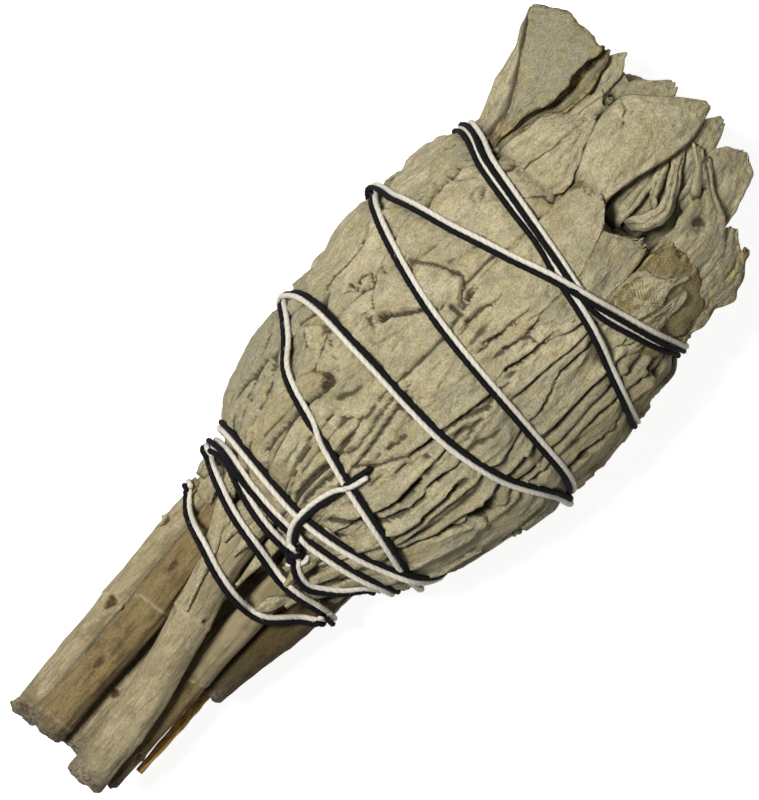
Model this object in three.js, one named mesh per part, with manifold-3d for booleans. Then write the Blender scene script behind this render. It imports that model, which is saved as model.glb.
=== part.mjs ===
// White sage smudge stick: dried leafy stems laid side by side and bound with a white and a black thread.
// It lies on its side. +X runs along it from the cut stems to the leafy crown, +Y is its left seen from
// above, +Z is up. The origin is on the table, under the flat spot of the belly that the stick rests on.
// All lengths are millimetres and all angles degrees, unless a name says otherwise.

import * as THREE from "three";
import { mergeVertices } from "three/addons/utils/BufferGeometryUtils.js";
import Module from "manifold-3d";

const wasm = await Module();
wasm.setup();

// Driving dimensions
const AXIS_HEIGHT = 17.65; // axis of the bundle over the table, at the origin
const AXIS_SLOPE = 0.085; // the crown end lies this much higher for each millimetre
const FLATNESS = 0.9; // height of the bundle over its width
const GAP = 0.3; // clear space between pieces that touch
const CORE_FROM = -42;
const CORE_TO = 25;
const CROWN_FREE_FROM = 22; // leaves stand free from here on
const LEAF_THICKNESS = 0.8; // a felted leaf with the one that clings under it
const PILE = 2.2; // depth of the pressed leaves over the packed middle
const LEAF_ROOT = 0.5; // a pressed leaf goes this far into the packed middle
const LEAF_BASE_DEPTH = 2; // a pressed leaf starts this far under the outermost ones
const PLEAT_BASE_DEPTH = 0.9;
const RIB_HOLLOW = 0.25;
const STEM_ROOM_FROM = -47; // a stem's room in the leaves is cut from here, before the first leaf
const THREAD_DIAMETER = 0.8;
const THREAD_SIDES = 5;
const STRAND_PITCH = 1.12; // from the white strand to the black one beside it
const THREAD_REST = 0.85; // thread centre over the outermost leaves
const STOREY = 1.25; // from a turn to the one that crosses over it
const CROSSING_MARGIN = 0.6; // strands with less clear space than this are stacked
const FLOOR_CLEARANCE = 0.15; // threads pressed into the belly stay this far off the table
const NECK_TO = -25; // the tubes' corners are closer together up to here
const NECK_STEP = 3.8;
const BODY_STEP = 6.4;
const KNOT_SIZE = [1.5, 1.2, 0.9];
const KNOT_LIFT = 1.9; // centre of the knot over the outermost leaves
const SEED = 11;

// The bundle seen from above: place along the axis, half width, and middle of the width
const OUTLINE = [
  [-45, 10.8, 3],
  [-38, 12.2, 2.4],
  [-31, 14.8, 1],
  [-25, 17.6, 1.1],
  [-18, 19.8, 0.9],
  [-9, 21.0, 0],
  [0, 21.6, 0],
  [8, 21.4, 0],
  [16, 20.0, 0],
  [24, 18.2, 0],
  [32, 14.6, 0],
  [40, 9.0, 0],
];

// Rows of body leaves, from the crown to the neck: where they start, how many go round, length, half width
const LEAF_ROWS = [
  { start: 10, count: 9, length: 23, half: 7 },
  { start: 0, count: 8, length: 26, half: 8 },
  { start: -10, count: 8, length: 27, half: 8 },
  { start: -20, count: 8, length: 28, half: 7.8 },
  { start: -31, count: 8, length: 29, half: 6.8 },
];
const PLEATS = { start: -44, count: 12, length: 26, half: 3.1 };

// Leaves that stand free in the crown, by what the photo shows: midrib from base to tip, half width,
// the way the upper face looks, and how far the edges rise. A fan is widest at its ragged end.
const CROWN_LEAVES = [
  {
    rib: [[17, 14.2, 30.1], [27, 15.4, 33.1], [38.4, 17.4, 32.6]],
    half: 5.6,
    face: [0, 0.3, 1],
    rise: 0.9,
    fan: true,
  },
  { rib: [[19, 13.6, 28.1], [28, 11.7, 29.7], [37.4, 12, 30.1]], half: 1.8, face: [0, -1, -0.3], rise: 0.4 },
  { rib: [[13, 11, 33.6], [22, 10.4, 34.9], [30, 8.2, 33.3]], half: 3.2, face: [0, 0.3, 0.1], rise: 0.5 },
  { rib: [[13, 5.5, 35.6], [22, 6.2, 35.7], [30.2, 7.4, 32.5]], half: 2.8, face: [0, 0.1, 0.1], rise: 0.5 },
  { rib: [[20, 10.5, 29.1], [28, 9.8, 31.6], [34, 8, 31.1]], half: 2, face: [0, 0.2, 0.1], rise: 1.6 },
  { rib: [[20, 5, 26.1], [31, 5.4, 29.1], [40.6, 3.8, 28.1]], half: 3, face: [0, 0.2, 0.1], rise: 0.6 },
  { rib: [[20, 10, 23.1], [31, 10.4, 26.6], [39, 10, 26.1]], half: 2.6, face: [0, 0.4, 0.1], rise: 0.7 },
  { rib: [[16, 1.4, 33.6], [29, 2.4, 36.1], [41.6, -1.8, 32.1]], half: 5.2, face: [0.1, 0, 0.1], rise: 0.6 },
  { rib: [[18, -2.8, 28.1], [28, -3.6, 31.3], [36, -2.6, 30.1]], half: 1.5, face: [0, -0.3, 0.1], rise: 1.2 },
  { rib: [[18, -5.6, 27.1], [28, -6.4, 30.5], [35.6, -4.6, 29.7]], half: 1.5, face: [0, 0.4, 0.1], rise: 1.2 },
  { rib: [[20, -3.6, 23.1], [32, -4, 27.1], [41.2, -4.6, 27.7]], half: 2.4, face: [0, -0.4, 0.1], rise: 0.9 },
  { rib: [[17, -9.4, 27.1], [30, -8.4, 31.5], [40.4, -8.8, 27.7]], half: 4.4, face: [0.1, -0.3, 0.1], rise: 0.8 },
  { rib: [[13, -12, 30.1], [24, -12.8, 31.3], [33, -12.4, 28.1]], half: 5, face: [0.1, -0.5, 0.1], rise: 0.7 },
  { rib: [[12, -17, 24.1], [22, -17.6, 25.1], [30.6, -16.6, 24.1]], half: 2.2, face: [0, -1, -0.3], rise: 0.4 },
];

// Rings of crown leaves at the sides and underneath: angles round the axis, base and tip as place along the
// axis and share of the bundle's half width, and half width
const CROWN_RINGS = [
  { angles: [-2, -31, -60, -89, -118, -147, -176], base: [13, 0.82], tip: [35, 0.94], half: 5.8 },
  { angles: [-30, -75, -118, -160], base: [18, 0.5], tip: [38, 0.62], half: 4.8 },
  { angles: [0, -90, 160], base: [18, 0.2], tip: [39, 0.28], half: 4 },
];

// Stems: centre line from the cut end into the bundle, radius, and the rings where leaves grew
const STEMS = {
  stem_main: {
    line: [[-73.2, -0.4, 18.3], [-62, 0.4, 18.6], [-51, 2.6, 19.7], [-42, 4.8, 21.1], [-35, 5.6, 21.5]],
    radius: 2.6,
    rings: [-64.5, -49],
  },
  stem_ringed: {
    line: [[-72, 7.6, 15.5], [-55, 7.6, 15.9], [-42, 8.6, 16], [-35, 8.6, 15.9]],
    radius: 2.45,
    rings: [-70, -51.2],
  },
  stem_upper: {
    line: [[-72.6, 11, 12.2], [-65, 11.6, 12.1], [-54, 12.4, 12.3], [-42, 13.1, 12.9], [-33, 12.9, 13.5]],
    radius: 1.6,
    rings: [-54, -42],
  },
  stem_lower: {
    line: [[-71.5, -3.3, 13.8], [-55, -2.9, 14.7], [-42, -2.6, 16.5], [-35, -2.2, 17.5]],
    radius: 1.95,
    rings: [-54],
  },
  stem_broken: {
    line: [[-54.6, -4.5, 10.3], [-47, -5.6, 11.5], [-41, -6.8, 12.5], [-35, -7.2, 13.3]],
    radius: 2.3,
    rings: [-49],
  },
  stem_behind: {
    line: [[-71.4, 3.9, 11.3], [-55, 3.8, 11.1], [-42, 3.6, 11.3], [-35, 3.4, 11.5]],
    radius: 2.2,
    rings: [-60],
  },
  stem_side: {
    line: [[-70.2, 8.8, 8.7], [-55, 9, 9.5], [-42, 8.8, 10.1], [-35, 8.6, 10.3]],
    radius: 1.8,
    rings: [-58],
  },
  stem_under: {
    line: [[-68.6, 0.4, 7.8], [-55, 0.6, 7.7], [-42, 0.4, 7.9], [-35, 0.3, 8.3]],
    radius: 1.9,
    rings: [-57],
  },
};
const STALK = {
  line: [[-68, -4.8, 11.1], [-60, -4.9, 10.1], [-54, -4.7, 7.3], [-45, -4.6, 8], [-36, -4.6, 9.1]],
  radius: 0.6,
};

// The binding, in the order wound. over is a turn seen from above, from the right side over the top to the
// left one: place along the axis, place across it, and half turns of the pair, 0 with white nearer the crown.
// under is the place along the axis where the thread passes below the bundle before that turn.
const TURNS = [
  {
    over: [[-34.4, -1, 0], [-34.1, 4, 0], [-33, 9, 0], [-31.2, 13.6, 0]],
  },
  {
    under: -35,
    over: [[-39.8, -7.4, 0], [-43, -3.6, 0], [-43.4, 0, 0], [-42.6, 4, 0], [-41, 8, 0], [-37.6, 12.9, 0]],
  },
  {
    under: -37.6,
    over: [[-37.4, -8.4, 0], [-38, -3, 0], [-37, 2, 0], [-35.6, 8, 0], [-33.4, 13.4, 0]],
  },
  {
    under: -27,
    over: [[-26.6, -12, 1], [-23.6, -1, 1], [-22, 4, 1], [-20.4, 9, 0], [-18, 14.6, 0], [-13, 19.4, 0]],
  },
  {
    under: -10,
    over: [[-4.6, -20.4, 0], [-3.4, -12, 0], [-2.2, -2, 0], [-1, 5, 0], [1.2, 13, 0], [4.6, 20.4, 0]],
  },
  {
    under: 6,
    over: [[6.8, -19.6, 0], [11.6, -7, 0], [12.8, -1, 0], [14, 6, 0], [16, 13, 0], [18.2, 18, 0]],
  },
  {
    under: 17,
    over: [[15.9, -18.8, 0], [13, -7, 0], [14.4, 0, 0], [16.4, 6, 0], [18.4, 13, 0], [20.6, 17.6, 0]],
  },
  {
    under: 19.5,
    over: [[18.4, -18.2, 0], [16.2, -13, 0], [12.4, -2, 0], [10.6, 4, 0], [8.6, 12, 0], [7, 20, 0]],
  },
  {
    under: -4,
    over: [[-7.4, -19.6, 1], [-10, -14, 1], [-11.3, -6, 1], [-11, 1, 1], [-10.3, 8, 1], [-9.7, 18.6, 1]],
  },
  {
    under: -18,
    over: [[-26.2, -14.4, 1], [-28.4, -9.6, 1], [-29.8, -4, 1], [-30.2, 2, 1], [-28.6, 14.6, 1]],
  },
  {
    under: -29.2,
    over: [[-29.8, -13.2, 1], [-31.2, -8.6, 1], [-32, -3, 1], [-32.4, 2, 0], [-31.8, 9, 0], [-30.6, 13.8, 0]],
  },
  {
    under: -31.4,
    over: [[-31.6, -12.6, 0], [-34.4, -9.4, 0], [-36.2, -6, 0], [-35.8, -3.2, 0], [-34.4, -1.6, 0]],
  },
];
// The free end after the last turn, which starts at the knot
const TAIL = [
  [-33.2, 0.2, 0],
  [-31.4, 1.3, 0],
  [-28.6, 1.2, 0],
  [-25.6, 0.5, 0],
  [-22.4, -0.6, 0],
  [-20, -1.4, 0],
];
const KNOT_AT = [-34.5, -1.4];

const LEAF = new THREE.MeshStandardMaterial({ color: 0xb8b092, roughness: 0.95, metalness: 0 });
const BARK = new THREE.MeshStandardMaterial({ color: 0xa89a72, roughness: 0.9, metalness: 0 });
const DRY_STALK = new THREE.MeshStandardMaterial({ color: 0x96692d, roughness: 0.85, metalness: 0 });
const WHITE_COTTON = new THREE.MeshStandardMaterial({ color: 0xd7d2c3, roughness: 0.95, metalness: 0 });
const BLACK_COTTON = new THREE.MeshStandardMaterial({ color: 0x19161c, roughness: 0.95, metalness: 0 });

const radians = THREE.MathUtils.degToRad;

// The same draws on every run
let drawn = SEED;
function draw(low, high) {
  drawn = (Math.imul(drawn, 1664525) + 1013904223) >>> 0;
  return low + ((high - low) * drawn) / 4294967296;
}

// Value in a column of the outline at x, smooth through its rows and held beyond its ends
function outlineAt(x, column) {
  const last = OUTLINE.length - 1;
  let i = 0;
  while (i < last - 1 && x > OUTLINE[i + 1][0]) i += 1;
  const [a, b, c, d] = [i - 1, i, i + 1, i + 2].map((k) => OUTLINE[THREE.MathUtils.clamp(k, 0, last)]);
  const t = THREE.MathUtils.clamp((x - b[0]) / (c[0] - b[0]), 0, 1);
  const step = c[0] - b[0];
  const startSlope = ((c[column] - a[column]) / (c[0] - a[0])) * step;
  const endSlope = ((d[column] - b[column]) / (d[0] - b[0])) * step;
  const rise = c[column] - b[column];
  const bend = startSlope + endSlope - 2 * rise;
  return b[column] + t * (startSlope + t * (rise - startSlope - bend + t * bend));
}

const halfWidth = (x) => outlineAt(x, 1);
const axisHeight = (x) => AXIS_HEIGHT + AXIS_SLOPE * x;

// Point of the bundle at x and an angle from +Y up over the top, lifted off its outermost leaves
function onBundle(x, angle, lift) {
  const half = halfWidth(x);
  return new THREE.Vector3(
    x,
    outlineAt(x, 2) + (half + lift) * Math.cos(angle),
    axisHeight(x) + (FLATNESS * half + lift) * Math.sin(angle),
  );
}

// Solids, to be joined and cut

function solidOf(geometry) {
  geometry.deleteAttribute("normal");
  geometry.deleteAttribute("uv");
  const merged = mergeVertices(geometry, 1e-4);
  const vertProperties = merged.getAttribute("position").array;
  const triVerts = new Uint32Array(merged.index.array);
  return new wasm.Manifold(new wasm.Mesh({ numProp: 3, vertProperties, triVerts }));
}

const largestBody = (solid) => solid.decompose().reduce((a, b) => (b.volume() > a.volume() ? b : a));

function meshOf(name, solid, material) {
  const { vertProperties, triVerts } = solid.getMesh();
  const geometry = new THREE.BufferGeometry();
  geometry.setAttribute("position", new THREE.BufferAttribute(vertProperties, 3));
  geometry.setIndex(new THREE.BufferAttribute(triVerts, 1));
  const mesh = new THREE.Mesh(geometry, material);
  mesh.name = name;
  return mesh;
}

// Closed thin blade on a grid, split alike on both faces. place(along, across, under) gives its points:
// along runs 0 to 1 from base to tip, across -1 to 1 towards the left edge, under is 0 or 1.
function bladeSolid(rows, columns, place) {
  const positions = [];
  for (const under of [0, 1]) {
    for (let i = 0; i <= rows; i += 1) {
      for (let j = 0; j <= columns; j += 1) {
        positions.push(...place(i / rows, (2 * j) / columns - 1, under).toArray());
      }
    }
  }
  const at = (under, i, j) => (under * (rows + 1) + i) * (columns + 1) + j;
  const index = [];
  const quad = (a, b, c, d) => index.push(a, b, c, a, c, d);
  for (let i = 0; i < rows; i += 1) {
    for (let j = 0; j < columns; j += 1) {
      quad(at(0, i, j), at(0, i + 1, j), at(0, i + 1, j + 1), at(0, i, j + 1));
      quad(at(1, i, j), at(1, i, j + 1), at(1, i + 1, j + 1), at(1, i + 1, j));
    }
    quad(at(0, i + 1, 0), at(0, i, 0), at(1, i, 0), at(1, i + 1, 0));
    quad(at(0, i, columns), at(0, i + 1, columns), at(1, i + 1, columns), at(1, i, columns));
  }
  for (let j = 0; j < columns; j += 1) {
    quad(at(0, 0, j), at(0, 0, j + 1), at(1, 0, j + 1), at(1, 0, j));
    quad(at(0, rows, j + 1), at(0, rows, j), at(1, rows, j), at(1, rows, j + 1));
  }
  const geometry = new THREE.BufferGeometry();
  geometry.setAttribute("position", new THREE.Float32BufferAttribute(positions, 3));
  geometry.setIndex(index);
  return solidOf(geometry);
}

// Share of the half width along a leaf: a narrow base, broad past the middle, a blunt tip
const leafShare = (along) => 0.2 + 0.8 * Math.sin(Math.PI * Math.min(1, 0.1 + 0.84 * along)) ** 0.7;
const fanShare = (along) => 0.3 + 0.7 * along ** 0.8;

// Leaves pressed on the body

function pressedLeaf({ start, angle, length, half, lean, tilt, deep, high }) {
  const rows = 4;
  const ragged = Array.from({ length: 2 * (rows + 1) }, () => draw(0.86, 1.12));
  const waves = Array.from({ length: 3 * (rows + 1) }, () => draw(-0.14, 0.14));
  return bladeSolid(rows, 2, (along, across, under) => {
    const row = Math.round(along * rows);
    const x = start + length * along * (row === rows ? ragged[across < 0 ? 0 : 1] : 1);
    const edge = across === 0 ? 0 : across * half * leafShare(along) * ragged[2 * row + (across < 0 ? 0 : 1)];
    const around = edge + length * along * Math.tan(radians(lean));
    const hollow = across === 0 ? RIB_HOLLOW : 0;
    const lift = (high + deep) * along - deep + tilt * across * Math.sin(Math.PI * along) - hollow;
    const top = Math.min(0, lift + waves[3 * row + across + 1]);
    return onBundle(x, angle - around / halfWidth(x), under ? -PILE - LEAF_ROOT : top);
  });
}

function leafRow({ start, count, length, half }) {
  const turned = draw(0, 360);
  return Array.from({ length: count }, (_, k) =>
    pressedLeaf({
      start: start + draw(-2.5, 2.5),
      angle: radians(turned + (360 * (k + draw(-0.18, 0.18))) / count),
      length: length * draw(0.86, 1.12),
      half: half * draw(0.85, 1.12),
      lean: draw(-9, 9),
      tilt: (k % 2 ? 0.35 : -0.35) + draw(-0.1, 0.1),
      deep: LEAF_BASE_DEPTH,
      high: draw(-0.35, 0),
    }),
  );
}

// Leaf bases gathered in narrow pleats at the neck
function pleats({ start, count, length, half }) {
  return Array.from({ length: count }, (_, k) =>
    pressedLeaf({
      start: start + draw(-1, 3),
      angle: radians((360 * (k + draw(-0.15, 0.15))) / count),
      length: length * draw(0.8, 1.1),
      half: half * draw(0.85, 1.15),
      lean: draw(-4, 4),
      tilt: k % 2 ? 0.3 : -0.3,
      deep: PLEAT_BASE_DEPTH,
      high: draw(-0.5, -0.1),
    }),
  );
}

// Leaves that stand free in the crown

// Keep a point where the binding passes under the outermost leaves
function tuckIn(point) {
  if (point.x > CROWN_FREE_FROM) return point;
  const across = point.y - outlineAt(point.x, 2);
  const up = (point.z - axisHeight(point.x)) / FLATNESS;
  const share = Math.hypot(across, up) / (halfWidth(point.x) - 0.4);
  if (share <= 1) return point;
  point.y = outlineAt(point.x, 2) + across / share;
  point.z = axisHeight(point.x) + (FLATNESS * up) / share;
  return point;
}

function freeLeaf({ rib, half, face, rise, fan = false }) {
  const rows = 5;
  const curve = new THREE.CatmullRomCurve3(rib.map((p) => new THREE.Vector3(...p)));
  const share = fan ? fanShare : leafShare;
  const ragged = Array.from({ length: 2 * (rows + 1) }, () => draw(0.86, 1.14));
  const looks = new THREE.Vector3(...face);
  return bladeSolid(rows, 2, (along, across, under) => {
    const row = Math.round(along * rows);
    const side = across < 0 ? 0 : 1;
    const end = row === rows && across !== 0 ? ragged[side] - 0.06 : 1;
    const tangent = curve.getTangent(along);
    const left = looks.clone().cross(tangent).normalize();
    const up = tangent.clone().cross(left).normalize();
    const width = across * half * share(along) * (across === 0 ? 1 : ragged[2 * row + side]);
    const lift = across * across * rise * share(along) - under * LEAF_THICKNESS;
    const point = curve.getPoint(along * Math.min(1, end));
    return tuckIn(point.addScaledVector(left, width).addScaledVector(up, lift));
  });
}

function ringLeaf({ angle, base, tip, half }) {
  const turn = radians(angle + draw(-5, 5));
  const spread = draw(0.9, 1.05);
  const reach = draw(-2.5, 2);
  const at = (x, share) => onBundle(x, turn, halfWidth(x) * (share - 1)).toArray();
  const bulge = 0.05;
  return freeLeaf({
    rib: [
      at(...base),
      at((base[0] + tip[0]) / 2, (base[1] + tip[1]) / 2 + bulge),
      at(tip[0] + reach, tip[1] * spread),
    ],
    half: half * draw(0.85, 1.1),
    face: [0.1, Math.cos(turn + draw(-0.3, 0.3)), Math.sin(turn)],
    rise: draw(-0.8, 0.9),
  });
}

// The packed middle that the leaves stand out of
function coreSolid() {
  const around = 18;
  const along = 14;
  const geometry = new THREE.CylinderGeometry(1, 1, 1, around, along);
  const position = geometry.getAttribute("position");
  for (let i = 0; i < position.count; i += 1) {
    const x = CORE_FROM + (CORE_TO - CORE_FROM) * (position.getY(i) + 0.5);
    const reach = Math.hypot(position.getX(i), position.getZ(i));
    const angle = Math.atan2(position.getZ(i), position.getX(i));
    const point = onBundle(x, -angle, -PILE);
    if (reach < 0.5) point.set(x, outlineAt(x, 2), axisHeight(x)); // the middles of its two ends
    position.setXYZ(i, point.x, point.y, point.z);
  }
  return solidOf(geometry);
}

// Stems

function stemSolid({ line, radius, rings }) {
  const around = 8;
  const along = 10;
  const curve = new THREE.CatmullRomCurve3(line.map((p) => new THREE.Vector3(...p)));
  const geometry = new THREE.CylinderGeometry(1, 1, 1, around, along);
  const position = geometry.getAttribute("position");
  for (let i = 0; i < position.count; i += 1) {
    const t = position.getY(i) + 0.5;
    const centre = curve.getPoint(t);
    const tangent = curve.getTangent(t);
    const side = new THREE.Vector3(0, 0, 1).cross(tangent).normalize();
    const up = tangent.clone().cross(side);
    const swelling = Math.max(...rings.map((ring) => Math.exp(-(((centre.x - ring) / 2) ** 2))));
    const size = radius * (0.95 + 0.06 * swelling);
    centre.addScaledVector(side, position.getX(i) * size).addScaledVector(up, -position.getZ(i) * size);
    position.setXYZ(i, centre.x, centre.y, centre.z);
  }
  return solidOf(geometry);
}

// Room for a stem in the leaves, to be cut out of them
function stemRoom({ line, radius }) {
  const spans = 4;
  const curve = new THREE.CatmullRomCurve3(line.map((p) => new THREE.Vector3(...p)));
  let from = 1;
  while (curve.getPoint(from).x > STEM_ROOM_FROM) from -= 0.01;
  const inside = Array.from({ length: spans + 1 }, (_, k) => curve.getPoint(from + ((1 - from) * k) / spans));
  inside[spans].x += GAP;
  const sides = 6;
  return tubeSolid(inside, (2 * (radius + GAP)) / Math.cos(Math.PI / sides), sides);
}

// Threads

// Tube corners come exactly at the given points
class ThroughPoints extends THREE.Curve {
  constructor(points) {
    super();
    this.points = points;
  }
  getPoint(t, target = new THREE.Vector3()) {
    const last = this.points.length - 1;
    const place = THREE.MathUtils.clamp(t, 0, 1) * last;
    const i = Math.min(Math.floor(place), last - 1);
    return target.lerpVectors(this.points[i], this.points[i + 1], place - i);
  }
  getPointAt(u, target) {
    return this.getPoint(u, target);
  }
  getTangentAt(u, target) {
    return this.getTangent(u, target);
  }
}

function tubeSolid(points, diameter, sides) {
  const circle = new THREE.EllipseCurve(0, 0, diameter / 2, diameter / 2);
  const section = new THREE.Shape(circle.getPoints(sides).slice(1));
  const path = new ThroughPoints(points);
  return solidOf(new THREE.ExtrudeGeometry(section, { steps: points.length - 1, extrudePath: path }));
}

// Angle of a place that is seen from above
const angleAt = (x, y) => Math.acos(THREE.MathUtils.clamp((y - outlineAt(x, 2)) / halfWidth(x), -1, 1));

// The binding's route as place along the axis, angle round it, and half turns of the pair
function bindingRoute() {
  const route = [];
  let wound = 0;
  TURNS.forEach(({ under, over }, k) => {
    const points = over.map(([x, y, flips]) => new THREE.Vector3(x, angleAt(x, y) - wound, flips));
    if (route.length) {
      const middle = route.at(-1).clone().lerp(points[0], 0.5).setX(under).setZ(route.at(-1).z);
      route.push(route.at(-1).clone().lerp(middle, 0.5), middle, middle.clone().lerp(points[0], 0.5));
    }
    route.push(...points);
    if (k === TURNS.length - 1) {
      TAIL.forEach(([x, y, flips]) => route.push(new THREE.Vector3(x, angleAt(x, y) - wound, flips)));
    }
    wound += 2 * Math.PI;
  });
  return route;
}

// Both strands as fine samples along the route, on the outermost leaves
function strandSamples() {
  const girth = 18; // a middling radius of the bundle, to space the route in millimetres
  const flipLength = 3;
  const count = 2600;
  const scaled = bindingRoute().map((p) => new THREE.Vector3(p.x, p.y * girth, p.z * flipLength));
  const curve = new THREE.CatmullRomCurve3(scaled, false, "centripetal");
  const places = curve.getSpacedPoints(count);
  return places.slice(0, count).map((place, i) => {
    const [x, angle] = [place.x, place.y / girth];
    const here = onBundle(x, angle, THREAD_REST);
    const next = onBundle(places[i + 1].x, places[i + 1].y / girth, THREAD_REST);
    const tangent = next.sub(here).normalize();
    const out = here.clone().sub(onBundle(x, angle, 0)).normalize();
    const side = out.clone().cross(tangent).normalize();
    const flip = Math.PI * THREE.MathUtils.clamp(place.z / flipLength, 0, 1);
    const beside = (Math.cos(flip) * STRAND_PITCH) / 2;
    return {
      out,
      whiteOver: Math.abs(beside) < 0.95 * (STRAND_PITCH / 2) ? STOREY : 0,
      white: { base: here.clone().addScaledVector(side, -beside), lift: 0 },
      black: { base: here.clone().addScaledVector(side, beside), lift: 0 },
    };
  });
}

// Corners of the tubes among the samples, closer together at the neck
function tubeCorners(samples) {
  const corners = [0];
  let travelled = 0;
  for (let i = 1; i < samples.length; i += 1) {
    const here = samples[i].white.base;
    travelled += here.distanceTo(samples[i - 1].white.base);
    if (travelled >= (here.x < NECK_TO ? NECK_STEP : BODY_STEP)) {
      corners.push(i);
      travelled = 0;
    }
  }
  corners.push(samples.length - 1);
  return corners;
}

// Height that a strand needs over the earlier turns at a sample
function neededLift(samples, i, colour) {
  const sameTurn = 26; // samples too close along the thread to cross
  const strand = samples[i][colour];
  const near = THREAD_DIAMETER + CROSSING_MARGIN;
  let lift = 0;
  for (let k = 0; k < i - sameTurn; k += 1) {
    for (const below of [samples[k].white, samples[k].black]) {
      if (strand.base.distanceToSquared(below.base) < near * near) lift = Math.max(lift, below.lift + STOREY);
    }
  }
  return lift;
}

// Set the lifts in the order wound, corner by corner, each high enough for what its two spans cross
function stackTurns(samples, corners) {
  corners.forEach((corner, k) => {
    const from = corners[Math.max(0, k - 1)];
    const to = corners[Math.min(corners.length - 1, k + 1)];
    for (const colour of ["black", "white"]) {
      const over = Math.max(...samples.slice(from, to + 1).map((sample) => sample.whiteOver));
      let lift = colour === "white" && over ? samples[corner].black.lift + over : 0;
      for (let i = from; i <= to; i += 1) lift = Math.max(lift, neededLift(samples, i, colour));
      const before = samples[from][colour].lift;
      for (let i = from; i < corner; i += 1) {
        samples[i][colour].lift = before + ((lift - before) * (i - from)) / (corner - from);
      }
      samples[corner][colour].lift = lift;
    }
  });
}

function strandPoints(samples, corners, colour) {
  return corners.map((i) => {
    const point = samples[i][colour].base.clone().addScaledVector(samples[i].out, samples[i][colour].lift);
    point.z = Math.max(point.z, THREAD_DIAMETER / 2 + FLOOR_CLEARANCE);
    return point;
  });
}

function knotSolid() {
  const [x, y] = KNOT_AT;
  const geometry = new THREE.IcosahedronGeometry(1, 1).scale(...KNOT_SIZE);
  const centre = onBundle(x, angleAt(x, y), KNOT_LIFT);
  return solidOf(geometry.translate(centre.x, centre.y, centre.z));
}

// The pieces

function leafBunch(cuts) {
  const blades = [
    ...LEAF_ROWS.flatMap(leafRow),
    ...pleats(PLEATS),
    ...CROWN_LEAVES.map(freeLeaf),
    ...CROWN_RINGS.flatMap(({ angles, ...ring }) => angles.map((angle) => ringLeaf({ angle, ...ring }))),
  ];
  const table = solidOf(new THREE.BoxGeometry(200, 200, 20).translate(0, 0, -10));
  const whole = wasm.Manifold.union([coreSolid(), ...blades]);
  return largestBody([table, ...cuts].reduce((bunch, cut) => bunch.subtract(cut), whole));
}

function stalkSolid({ line, radius }) {
  const curve = new THREE.CatmullRomCurve3(line.map((p) => new THREE.Vector3(...p)));
  return tubeSolid(curve.getPoints(14), 2 * radius, 6);
}

function smudgeStick() {
  const samples = strandSamples();
  const corners = tubeCorners(samples);
  stackTurns(samples, corners);
  const white = strandPoints(samples, corners, "white");
  const black = strandPoints(samples, corners, "black");
  const room = (points) => tubeSolid(points, THREAD_DIAMETER + 2 * GAP, THREAD_SIDES);
  const stemRooms = [...Object.values(STEMS), STALK].map(stemRoom);
  const whiteThread = tubeSolid(white, THREAD_DIAMETER, THREAD_SIDES);
  const blackThread = tubeSolid(black, THREAD_DIAMETER, THREAD_SIDES).add(knotSolid().subtract(room(white)));
  const stick = new THREE.Group();
  stick.add(meshOf("leaf_bunch", leafBunch([...stemRooms, room(white), room(black)]), LEAF));
  for (const [name, stem] of Object.entries(STEMS)) stick.add(meshOf(name, stemSolid(stem), BARK));
  stick.add(meshOf("dry_leaf_stalk", stalkSolid(STALK), DRY_STALK));
  stick.add(meshOf("thread_white", whiteThread, WHITE_COTTON));
  stick.add(meshOf("thread_black", largestBody(blackThread), BLACK_COTTON));
  return stick;
}

export default smudgeStick();
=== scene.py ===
import math

import bpy
import numpy as np
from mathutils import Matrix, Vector
from mathutils.bvhtree import BVHTree


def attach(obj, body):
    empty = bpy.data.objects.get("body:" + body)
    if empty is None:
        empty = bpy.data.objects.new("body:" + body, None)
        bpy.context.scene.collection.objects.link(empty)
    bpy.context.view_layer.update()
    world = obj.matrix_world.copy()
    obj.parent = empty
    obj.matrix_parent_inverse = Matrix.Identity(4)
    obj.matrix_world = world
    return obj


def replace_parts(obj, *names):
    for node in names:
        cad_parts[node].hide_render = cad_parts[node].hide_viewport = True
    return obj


# White sage smudge stick, lying on its side, its stems towards -X and its crown towards +X. The bundle, its
# stems and its binding are laid out by the same lines as in the part's source. Lengths in the tables are
# millimetres and angles in them are degrees; meshes are made in metres.

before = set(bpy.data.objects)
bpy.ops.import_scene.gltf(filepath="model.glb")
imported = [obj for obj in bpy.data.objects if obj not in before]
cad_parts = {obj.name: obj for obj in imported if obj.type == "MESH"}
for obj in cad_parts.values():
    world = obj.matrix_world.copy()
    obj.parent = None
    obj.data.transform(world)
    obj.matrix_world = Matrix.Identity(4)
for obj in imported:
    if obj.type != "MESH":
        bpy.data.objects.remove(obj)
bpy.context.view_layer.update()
MM = 0.001
draws = np.random.default_rng(11)

# The bundle

AXIS_HEIGHT = 17.65
AXIS_SLOPE = 0.085
FLATNESS = 0.9
# Place along the axis, half width, and middle of the width
OUTLINE = np.array([
    [-45, 10.8, 3], [-38, 12.2, 2.4], [-31, 14.8, 1], [-25, 17.6, 1.1], [-18, 19.8, 0.9], [-9, 21, 0],
    [0, 21.6, 0], [8, 21.4, 0], [16, 20, 0], [24, 18.2, 0], [32, 14.6, 0], [40, 9, 0],
], float)


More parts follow.
